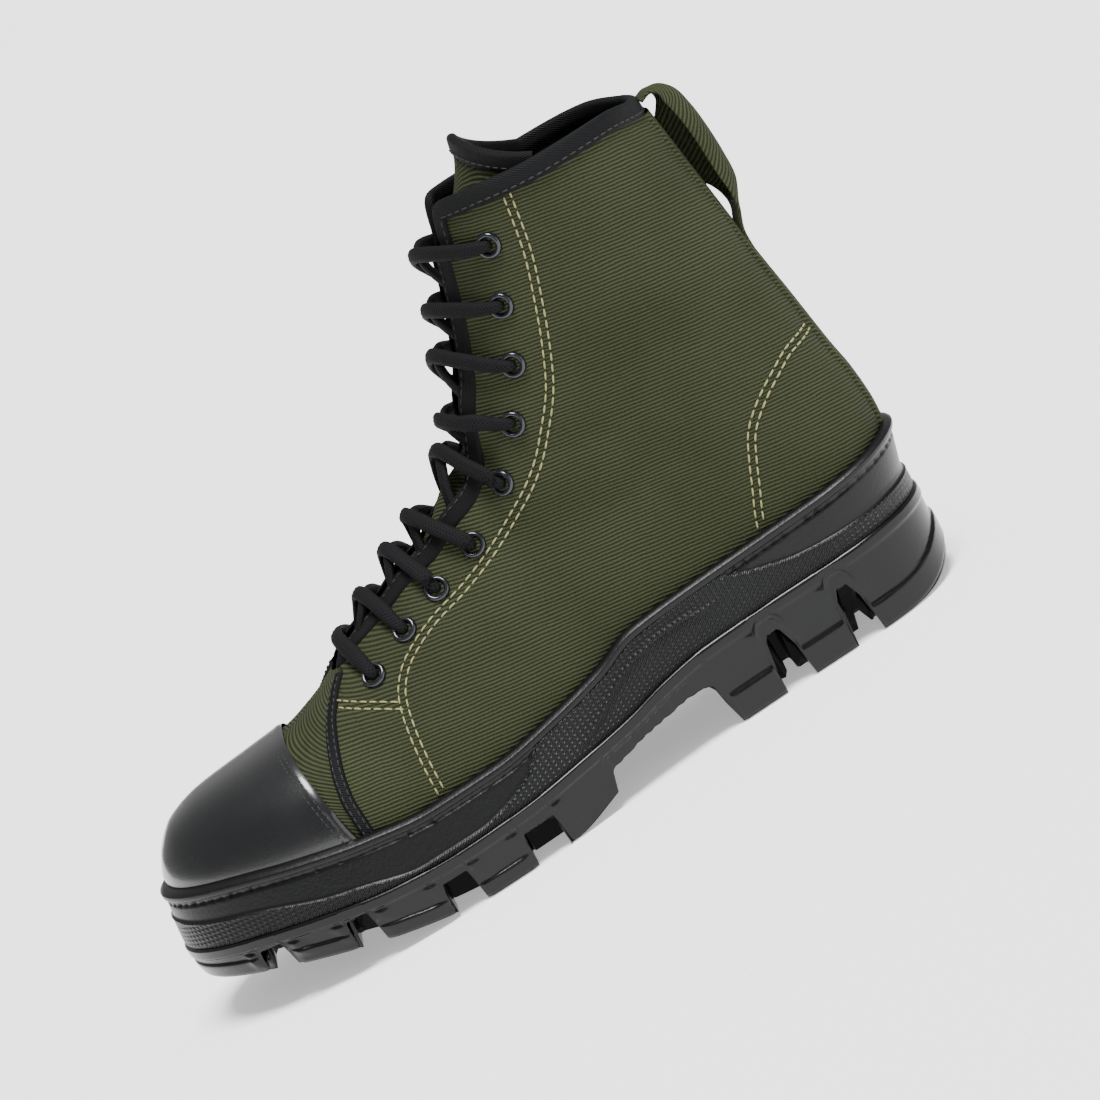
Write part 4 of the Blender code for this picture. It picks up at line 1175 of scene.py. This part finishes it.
# A folded tape over a free edge: its section is a U about the edge, rounded at the fold.
def foldedTape(name, edge, down, normals, wall, depth, thick, node):
    angles = np.linspace(0, math.pi, 9)
    radius = wall / 2 + thick
    section = np.array([
        (depth, radius - thick * 0.95), (depth, radius),
        (depth * 0.7, radius * 1.03), (depth * 0.35, radius * 1.02),
        *[(-radius * math.sin(a) * 0.9, radius * math.cos(a)) for a in angles],
        (depth * 0.35, -radius), (depth, -radius), (depth, -radius + thick * 0.95),
    ])
    core = edge - normals * wall / 2
    grid = core[:, None] + down[:, None] * section[None, :, :1]
    grid = grid + normals[:, None] * section[None, :, 1:]
    uv = np.stack(np.meshgrid(runAlong(edge) / mm, runAlong(section) / mm, indexing="ij"), axis=-1)
    makePiece(name, grid, gridFaces(len(edge), len(section)), tape, uv=uv, nodes=(node,))


# Collar and facing tape: one run from the outer facing round the collar to the inner facing.
collarTape = {"depth": 5.6 * mm, "thick": 0.9 * mm, "from": 0.690, "spacing": 1.6 * mm}


def edgeLine(side):
    line = []
    for station in stations[stations < placeX(collarTape["from"])]:
        top = float(topLine(ribX(station, last["shaftHeight"]), side))
        x = float(ribX(station, top))
        y = float(half(x, top, side)) if station > stations[0] else 0.0
        line.append((x, float(middle(x)) + side * y, top))
    return np.array(line)


def edgeFrame(side):
    line = resample(edgeLine(side), collarTape["spacing"])
    normals = normalsAt(line, side)
    heel = line[:, 0] < float(backOf(last["shaftHeight"])) + 2 * mm
    turned = np.stack([
        -np.ones(heel.sum()), line[heel, 1] / (14 * mm), np.zeros(heel.sum()),
    ], axis=1)
    normals[heel] = unit(turned)
    down = unit(np.cross(unit(np.gradient(line, axis=0)), normals) * side)
    return line, normals, down


edge, edgeNormals, edgeDown = [
    np.concatenate([outer[::-1], inner[1:]]) for outer, inner in zip(edgeFrame(1), edgeFrame(-1))
]
isWrong = (edgeDown[:, 2] > 0) & (edge[:, 2] > 190 * mm)
edgeDown = np.where(isWrong[:, None], -edgeDown, edgeDown)
foldedTape(
    "collarBinding", edge, edgeDown, edgeNormals, last["wall"], collarTape["depth"],
    collarTape["thick"], "collar_tape",
)
tongueTop = tongueSkin[-1]
tongueDown = unit(tongueSkin[-3] - tongueSkin[-1])
foldedTape(
    "tongueBinding", tongueTop, tongueDown, tongueNormals[-1], tongue["wall"], 5.0 * mm, 0.8 * mm,
    "tongue_tape",
)

# Quarter tapes: a low cushion section across a side-view line.
quarterTape = {"width": 5.0 * mm, "rise": 1.2 * mm, "tuck": 0.4 * mm}


def buildQuarterTape(node, side):
    line = sideLine(quarterEdge["rows"], side, 1.2 * mm)
    normals = normalsAt(line, side)
    across = unit(np.cross(unit(np.gradient(line, axis=0)), normals))
    parts = np.linspace(-1, 1, 13)
    grid = []
    for part in parts:
        p = line + across * part * quarterTape["width"] / 2
        p[:, 1] = middle(p[:, 0]) + side * half(p[:, 0], p[:, 2], side)
        bulge = quarterTape["rise"] * (1 - abs(part) ** 6) - quarterTape["tuck"] * (abs(part) == 1)
        grid.append(p + normals * bulge)
    grid = np.array(grid)
    width = parts * quarterTape["width"] / 2 / mm
    uv = np.stack(np.meshgrid(width, runAlong(line) / mm, indexing="ij"), axis=-1)
    faces = gridFaces(grid.shape[0], grid.shape[1], flip=side > 0)
    makePiece(node + "Cloth", grid, faces, tape, uv=uv, nodes=(node,))


buildQuarterTape("quarter_tape_outer", 1)
buildQuarterTape("quarter_tape_inner", -1)
print("tapes made")

# Eyelets: a domed rim turned about each hole's axis, all in one piece.
eyelets = {
    "outer": 4.7 * mm,
    "bore": 2.75 * mm,
    "dome": 1.15 * mm,
    "round": 32,
    "rows": (
        (0.655, 0.411), (0.597, 0.446), (0.540, 0.474), (0.477, 0.505), (0.410, 0.570),
        (0.363, 0.648), (0.326, 0.736), (0.301, 0.834), (0.276, 0.934),
    ),
}


def eyeletHeight(x, height, side):
    outer = last["shaftHeight"] * height
    if side > 0:
        return outer
    drop = np.linspace(0.0, 35 * mm, 71)

    def runDown(which):
        z = topLine(x, which) - drop
        y = half(x, z, which)
        return np.concatenate([[0], np.cumsum(np.hypot(np.diff(y), np.diff(z)))])

    run = np.interp(topLine(x, 1) - outer, drop, runDown(1))
    return float(topLine(x, side) - np.interp(run, runDown(side), drop))


def eyeletPlace(number, side):
    along, height = eyelets["rows"][number]
    x = float(placeX(along))
    z = eyeletHeight(x, height, side)
    centre = np.array([x, float(middle(x)) + side * float(half(x, z, side)), z])
    return centre, normalsAt(centre[None], side)[0]


def buildEyelets():
    rimMiddle = (eyelets["outer"] + eyelets["bore"]) / 2
    rimHalf = (eyelets["outer"] - eyelets["bore"]) / 2
    profile = np.array([
        (eyelets["outer"], -0.1 * mm),
        *[
            (rimMiddle + rimHalf * math.cos(a), 0.25 * mm + eyelets["dome"] * math.sin(a))
            for a in np.linspace(0, math.pi, 9)
        ],
        (eyelets["bore"], -1.0 * mm), (eyelets["bore"] + 0.1 * mm, -3.4 * mm),
    ])
    turn = np.linspace(0, 2 * math.pi, eyelets["round"] + 1)[:-1]
    grids = []
    names = []
    for side, word in ((1, "outer"), (-1, "inner")):
        for number in range(len(eyelets["rows"])):
            centre, axis = eyeletPlace(number, side)
            first = unit(np.cross(axis, (0, 0, 1.0)))
            second = np.cross(axis, first)
            ring = np.cos(turn)[:, None] * first + np.sin(turn)[:, None] * second
            grids.append(centre + ring[:, None] * profile[None, :, :1] + axis * profile[None, :, 1:])
            names.append("eyelet_" + word + "_" + str(number + 1))
    joinGrids("eyeletRims", grids, [False] * len(grids), enamel, nodes=names, wrapCount=True)


buildEyelets()

# Laces: an oval cord with four ribs, carried along listed stations over the throat.
lace = {
    "width": 5.5 * mm,
    "thick": 2.7 * mm,
    "ribs": 4,
    "ribRise": 0.25 * mm,
    "round": 28,
    "girth": 12.6,
    "spacing": 0.8 * mm,
    "apex": {1: 5.6 * mm, -1: 3.0 * mm},
}


def smoothPath(points, spacing):
    points = np.array(points)
    run = runAlong(points)
    at = np.linspace(0, run[-1], int(run[-1] / spacing) + 2)
    lean = np.gradient(points, run, axis=0)
    i = np.clip(np.searchsorted(run, at, side="right") - 1, 0, len(run) - 2)
    step = (run[i + 1] - run[i])[:, None]
    t = ((at - run[i])[:, None]) / step
    return hermite(i, t, step, points, lean)


def cordPiece(name, stationRows, nodes=()):
    # Rows: run, y, lift, squeeze of the width, twist of the flat in degrees. Turns and sizes
    # are scaled to lengths, so that the path's spacing stays even.
    packed = []
    for run, y, lift, squeeze, twist in stationRows:
        p, n = overThroat(run, y, lift)
        packed.append([*p, *(n * 20 * mm), squeeze * 10 * mm, math.radians(twist) * 10 * mm])
    path = smoothPath(packed, lace["spacing"])
    centre = path[:, :3]
    squeeze = path[:, 6] / (10 * mm)
    twist = path[:, 7:] / (10 * mm)
    ahead = unit(np.gradient(centre, axis=0))
    across = unit(np.cross(ahead, unit(path[:, 3:6])))
    normal = np.cross(across, ahead)
    across, normal = (
        across * np.cos(twist) + normal * np.sin(twist),
        normal * np.cos(twist) - across * np.sin(twist),
    )
    angle = np.linspace(0, 2 * math.pi, lace["round"] + 1)[:-1]
    wide = np.sign(np.cos(angle)) * np.abs(np.cos(angle)) ** 0.8 * lace["width"] / 2
    high = np.sin(angle) * lace["thick"] / 2
    ribs = np.abs(np.cos(wide / lace["width"] * math.pi * lace["ribs"])) * np.abs(np.sin(angle))
    high = high + np.sign(high) * lace["ribRise"] * ribs
    grid = centre[:, None] + across[:, None] * (wide[None] * squeeze[:, None])[..., None]
    grid = grid + normal[:, None] * (high[None] / np.sqrt(squeeze)[:, None])[..., None]
    girth = np.linspace(0, lace["girth"], lace["round"])
    uv = np.stack(np.meshgrid(runAlong(centre) / mm, girth, indexing="ij"), axis=-1)
    faces = gridFaces(grid.shape[0], grid.shape[1], False, True, flip=True)
    makePiece(name, grid, faces, cord, uv=uv, nodes=nodes)


def eyeletPair(number):
    # The pair's run up the ridge, and how far each eyelet lies from the middle.
    outer, _ = eyeletPlace(number, 1)
    inner, _ = eyeletPlace(number, -1)
    return (
        runOf(outer[0], outer[2]), abs(outer[1] - float(middle(outer[0]))),
        abs(inner[1] - float(middle(inner[0]))),
    )


pairs = [eyeletPair(number) for number in range(len(eyelets["rows"]))]


def buildLaces():
    run, outer, inner = pairs[0]
    cordPiece("laceBar", [
        (run, -inner, -4 * mm, 0.7, 0), (run, -inner, 0.5 * mm, 0.75, 0),
        (run + 1 * mm, -inner + 4.5 * mm, 2.6 * mm, 1, 0), (run + 2 * mm, 0, 3.4 * mm, 1, 0),
        (run + 1 * mm, outer - 4.5 * mm, 2.6 * mm, 1, 0),
        (run, outer, 0.5 * mm, 0.75, 0), (run, outer, -4 * mm, 0.7, 0),
    ], nodes=("lace_bar",))
    for k, (low, high) in enumerate(zip(pairs[:-1], pairs[1:])):
        step = high[0] - low[0]
        gap = float(halfGap(eyelets["rows"][k + 1][0]))
        for side, word in ((1, "Outer"), (-1, "Inner")):
            # Each strand climbs from the other side's lower eyelet over the throat.
            start = low[2] if side > 0 else low[1]
            reach = high[1] if side > 0 else high[2]
            apex = lace["apex"][side]
            path = [
                (low[0] + 0.02 * step, -side * (start - 2 * mm), -4.2 * mm, 0.8, 0),
                (low[0] + 0.20 * step, -side * (gap + 1 * mm), -3.6 * mm, 1, 0),
                (low[0] + 0.42 * step, -side * (gap - 4.5 * mm), -0.8 * mm, 1, -side * 30),
                (low[0] + 0.80 * step, -side * 5 * mm, apex * 0.8, 1, -side * 20),
                (low[0] + 0.98 * step, side * 2 * mm, apex, 1, 0),
                (high[0] + 0.04 * step, side * (gap - 2 * mm), 4.2 * mm, 1, side * 8),
                (high[0] + 0.02 * step, side * (gap + 4 * mm), 3.4 * mm, 1, 0),
                (high[0], side * (reach - 3.0 * mm), 2.3 * mm, 0.9, 0),
                (high[0], side * (reach - 0.4 * mm), 0.6 * mm, 0.72, 0),
                (high[0], side * reach, -4 * mm, 0.7, 0),
            ]
            nodes = ("lace_crossing_" + str(k + 1),) if side > 0 else ()
            cordPiece("laceStrand" + str(k + 1) + word, path, nodes=nodes)


buildLaces()
print("laces and eyelets made")

# Stitches: each is a short tube that rises out of the cloth and dips back in.
seamLook = {
    "columns": ("pitch", "length", "radius", "rise"),
    "olive": (3.9 * mm, 2.9 * mm, 0.38 * mm, 0.30 * mm),
    "quarterTape": (2.8 * mm, 2.0 * mm, 0.30 * mm, 0.30 * mm),
    "cap": (2.6 * mm, 1.9 * mm, 0.30 * mm, 0.30 * mm),
    "binding": (3.3 * mm, 2.4 * mm, 0.30 * mm, 0.25 * mm),
    "points": 6,
    "sunk": 0.12 * mm,
}


def stitches(kind, line, normals, phase=0.0):
    pitch, length, radius, rise = seamLook[kind]
    run = runAlong(line)
    count = seamLook["points"]
    starts = np.arange(phase * pitch, run[-1] - length, pitch)
    part = np.linspace(0, 1, count)
    at = starts[:, None] + part[None] * length
    centre = np.stack([np.interp(at, run, line[:, k]) for k in range(3)], axis=-1)
    normal = unit(np.stack([np.interp(at, run, normals[:, k]) for k in range(3)], axis=-1))
    swell = np.sin(math.pi * part) ** 0.5
    centre = centre + normal * (rise * swell - seamLook["sunk"])[None, :, None]
    across = unit(np.cross(unit(centre[:, -1:] - centre[:, :1]), normal))
    size = radius * (0.55 + 0.45 * swell)[:, None]
    angle = np.linspace(0, 2 * math.pi, count + 1)[:-1]
    ring = centre[:, :, None] + across[:, :, None] * (np.cos(angle) * size)[None, ..., None]
    ring = ring + normal[:, :, None] * (np.sin(angle) * size)[None, ..., None]
    shifts = np.arange(len(starts)) * count * count
    faces = gridFaces(count, count, False, True)[None] + shifts[:, None, None]
    return ring.reshape(-1, 3), faces.reshape(-1, 4)


def stitchRows(name, rows, side, look_, offsets, kind, lift):
    allPoints = []
    allFaces = []
    shift = 0
    line = sideLine(rows, side, 1.5 * mm)
    normals = normalsAt(line, side)
    across = unit(np.cross(unit(np.gradient(line, axis=0)), normals))
    for number, offset in enumerate(offsets):
        row = line + across * offset
        row[:, 1] = middle(row[:, 0]) + side * half(row[:, 0], row[:, 2], side)
        row = row + normals * (lift + creaseDepth(row, side))[:, None]
        points, faces = stitches(kind, row, normals, 0.5 * number)
        allPoints.append(points)
        allFaces.append(faces + shift)
        shift += len(points)
    makePiece(name, np.concatenate(allPoints), np.concatenate(allFaces), look_, weld=False)


def bindingStitches(name, line, down, normals, depth, out):
    points, faces = stitches("binding", line + down * depth + normals * out, normals)
    makePiece(name, points, faces, tapeThread, weld=False)


capRows = [
    (float(share(capEdge(z))) + 0.012, z / last["shaftHeight"])
    for z in np.linspace(42 * mm, 74 * mm, 9)
]
for side, word in ((1, "Outer"), (-1, "Inner")):
    for key, rows in oliveRows.items():
        stitchRows(
            key + "Stitches" + word, rows, side, oliveThread, (-1.3 * mm, 1.3 * mm), "olive",
            0.12 * mm,
        )
    stitchRows(
        "quarterTapeStitches" + word, quarterEdge["rows"], side, blackThread,
        (-1.1 * mm, 1.3 * mm), "quarterTape", 1.15 * mm,
    )
    stitchRows(
        "capStitches" + word, capRows, side, blackThread, (-0.9 * mm, 0.9 * mm), "cap", 1.25 * mm,
    )
bindingStitches(
    "collarTapeStitches", edge, edgeDown, edgeNormals, 4.2 * mm, collarTape["thick"] + 0.02 * mm,
)
bindingStitches(
    "tongueTapeStitches", tongueTop, tongueDown, tongueNormals[-1], 3.9 * mm, 0.85 * mm,
)
print("stitches made")

# Pull loop: tape from the backstay up, over and back to the collar, its edges curled inward.
pullLoop = {
    "width": 15.5 * mm,
    "thick": 2.2 * mm,
    "stand": 11.2 * mm,
    "seat": 2.5 * mm,
    "narrow": 1.2 * mm,
    "nearCup": 5.5 * mm,
    "farCup": 11.5 * mm,
    "weaveTilt": math.radians(38),
    "columns": ("height", "stand"),
    "rows": (
        (0.655, -0.21), (0.700, -0.08), (0.735, 0.22), (0.785, 0.74), (0.830, 0.88), (0.885, 0.97),
        (0.930, 0.98), (0.968, 0.88), (0.988, 0.58), (0.991, 0.20), (0.985, -0.15),
    ),
}


def buildLoop():
    # Section across: a band with round edges, bent toward the boot by cup * part^1.8.
    rows = np.array(pullLoop["rows"])
    z = last["shaftHeight"] * rows[:, 0]
    x = backOf(z) - pullLoop["seat"] - pullLoop["stand"] * rows[:, 1]
    packed = np.stack([x, np.zeros(len(x)), z, rows[:, 1] * 10 * mm], axis=1)
    path = smoothPath(packed, 0.8 * mm)
    stand = np.clip(path[:, 3] / (10 * mm), 0, 1)
    centre = path[:, :3]
    across = np.broadcast_to(np.array([0, 1.0, 0]), centre.shape)
    up = np.cross(unit(np.gradient(centre, axis=0)), across)
    up = np.where(np.sum(up * np.array([-1.0, 0, 0.4]), axis=1)[:, None] < 0, -up, up)
    angle = np.linspace(0, 2 * math.pi, 61)[:-1]
    part = np.sign(np.cos(angle)) * np.abs(np.cos(angle)) ** 0.6
    thick = np.sign(np.sin(angle)) * np.abs(np.sin(angle)) ** 0.7 * pullLoop["thick"] / 2
    # The far edge curls onto the backstay, the near one stops short of it.
    cup = np.where(part > 0, pullLoop["nearCup"], pullLoop["farCup"]) * np.abs(part) ** 1.8
    bent = thick[None] - cup[None] * ease((stand - 0.15) / 0.8)[:, None]
    narrowed = pullLoop["narrow"] * stand[:, None] * part[None] ** 2
    wide = part[None] * (pullLoop["width"] / 2 - narrowed)
    grid = centre[:, None] + across[:, None] * wide[..., None] + up[:, None] * bent[..., None]
    girth = runAlong(np.stack([part * 7.7, thick / mm], axis=1))
    u, v = np.meshgrid(runAlong(centre) / mm, girth, indexing="ij")
    uv = tiltedUv(u, v, pullLoop["weaveTilt"])
    faces = gridFaces(grid.shape[0], grid.shape[1], False, True)
    makePiece("pullLoopCloth", grid, faces, canvas, uv=uv, nodes=("pull_loop",))


buildLoop()

# Backstay: a strip up the back seam, wrapped round the heel.
backstay = {
    "half": 10.5 * mm,
    "rise": 1.6 * mm,
    "tuck": 2.0 * mm,
    "foot": 50 * mm,
    "weaveTilt": math.radians(40),
}


def buildBackstay():
    z = np.linspace(backstay["foot"], float(collar(placeX(0.04))) - 5 * mm, 80)
    width = last["ballHalf"] * look(shaftLine, "half", z / last["shaftHeight"])
    parts = np.linspace(-1, 1, 25)
    columns = []
    for part in parts:
        y = abs(part) * backstay["half"]
        # The back's own rounding: x = back + R (1 - (1 - (y / W)^p)^(1/p)), with p 2.1.
        t = 1 - (1 - np.clip(y / width, 0, 1) ** 2.1) ** (1 / 2.1)
        across = np.full_like(z, part * backstay["half"])
        place = np.stack([backOf(z) + last["backRound"] * t, across, z], axis=1)
        normal = unit(np.array([-1.0, part * 0.30, 0.05]))
        lift = backstay["rise"] * (1 - 0.35 * abs(part) ** 6) - backstay["tuck"] * (abs(part) == 1)
        columns.append(place + normal * lift)
    grid = np.array(columns)
    u, v = np.meshgrid(parts * backstay["half"] / mm, z / mm, indexing="ij")
    uv = tiltedUv(u, v, backstay["weaveTilt"])
    faces = gridFaces(grid.shape[0], grid.shape[1])
    makePiece("backstayCloth", grid, faces, canvas, uv=uv, nodes=("backstay",))


buildBackstay()

# Inner patch: a half moon of pebbled leather on the inner side.
innerPatch = {"centre": (70 * mm, 38 * mm), "reach": (48.5 * mm, 48 * mm), "rise": 1.3 * mm}


def buildPatch():
    # Rings shrink from the arc: (x, z) = centre + r * reach * (cos a, sin a).
    angles = np.linspace(0.02, math.pi - 0.02, 90)
    rings = []
    for r in np.linspace(1, 0.02, 40):
        x = innerPatch["centre"][0] + innerPatch["reach"][0] * r * np.cos(angles)
        z = innerPatch["centre"][1] + innerPatch["reach"][1] * r * np.sin(angles)
        z = np.maximum(z, sole("lip", x) - 5 * mm)
        p = np.stack([x, middle(x) - half(x, z, -1), z], axis=1)
        rolled = np.clip((1 - r) * innerPatch["reach"][0] / (1.2 * mm), 0, 1)
        lift = innerPatch["rise"] * math.sqrt(1 - (1 - rolled) ** 2) - 0.3 * mm * (r == 1)
        rings.append(p + normalsAt(p, -1) * lift)
    grid = np.array(rings)
    faces = gridFaces(grid.shape[0], grid.shape[1])
    makePiece("innerPatchLeather", grid, faces, patchLeather, nodes=("inner_patch",))


buildPatch()
print("loop, backstay and patch made")

# The insole is the CAD's own, with its material and softened edges.
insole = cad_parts["insole"]
insole = bpy.data.objects[insole] if isinstance(insole, str) else insole
insole.data.materials.clear()
insole.data.materials.append(insoleCloth)
edges = insole.modifiers.new("soft edges", "BEVEL")
edges.width = 0.5 * mm
edges.segments = 2
edges.limit_method = "ANGLE"
edges.angle_limit = math.radians(35)

# Floor, light and camera.
stageLook = {"colour": "#f8f8f8", "glow": 0.45, "size": 60.0, "level": -0.2 * mm}


def layFloor():
    corners = [
        (x * stageLook["size"], y * stageLook["size"], stageLook["level"])
        for x, y in ((-1, -1), (1, -1), (1, 1), (-1, 1))
    ]
    data = bpy.data.meshes.new("floor")
    data.from_pydata(corners, [], [(0, 1, 2, 3)])
    data.materials.append(makePlain(
        "pale floor", stageLook["colour"], 0.9, Emission_Color=linear(stageLook["colour"]),
        Emission_Strength=stageLook["glow"],
    ))
    floor = bpy.data.objects.new("floor", data)
    bpy.context.scene.collection.objects.link(floor)


layFloor()

view = {
    "place": (56.2 * mm, 1372.4 * mm, 360.8 * mm),
    "target": (95 * mm, 0 * mm, 101 * mm),
    "roll": -33.2,
    "lens": 130.0,
    "sensor": 36.0,
    "shift": 0.096,
}


def placeCamera():
    place = np.array(view["place"])
    toward = unit(place - np.array(view["target"]))
    level = unit(np.array([-toward[1], toward[0], 0.0]))
    roll = math.radians(view["roll"])
    right = level * math.cos(roll) + np.cross(toward, level) * math.sin(roll)
    up = np.cross(toward, right)
    made = bpy.data.objects.new("camera", bpy.data.cameras.new("camera"))
    made.data.lens = view["lens"]
    made.data.sensor_width = view["sensor"]
    made.data.shift_x = view["shift"]
    turn = Matrix([list(right), list(up), list(toward)]).transposed().to_4x4()
    turn.translation = place
    made.matrix_world = turn
    bpy.context.scene.collection.objects.link(made)
    bpy.context.scene.camera = made
    return right, up, toward


cameraRight, cameraUp, cameraToward = placeCamera()

# Suns as seen by the camera: toward its right, toward it and up; strength; spread in degrees.
lights = {
    "suns": {
        "key": ((-0.45, 0.50, 1.00), 6.4, 26.0),
        "fill": ((0.9, 0.6, 0.25), 0.9, 50.0),
        "front": ((-0.15, 1.00, 0.10), 0.15, 24.0),
    },
    "lowest": 0.04,
    "world": 0.42,
}


def addLights():
    for name, (place, strength, wide) in lights["suns"].items():
        direction = unit(cameraRight * place[0] + cameraToward * place[1] + cameraUp * place[2])
        direction[2] = max(direction[2], lights["lowest"])
        lamp = bpy.data.lights.new(name, "SUN")
        lamp.energy = strength
        lamp.angle = math.radians(wide)
        made = bpy.data.objects.new(name, lamp)
        made.rotation_mode = "QUATERNION"
        made.rotation_quaternion = Vector(-unit(direction)).to_track_quat("-Z", "Y")
        bpy.context.scene.collection.objects.link(made)
    world = bpy.data.worlds.new("soft studio")
    world.use_nodes = True
    background = world.node_tree.nodes["Background"]
    background.inputs[0].default_value = (1.0, 1.0, 1.0, 1.0)
    background.inputs[1].default_value = lights["world"]
    bpy.context.scene.world = world


addLights()
print("stage made")
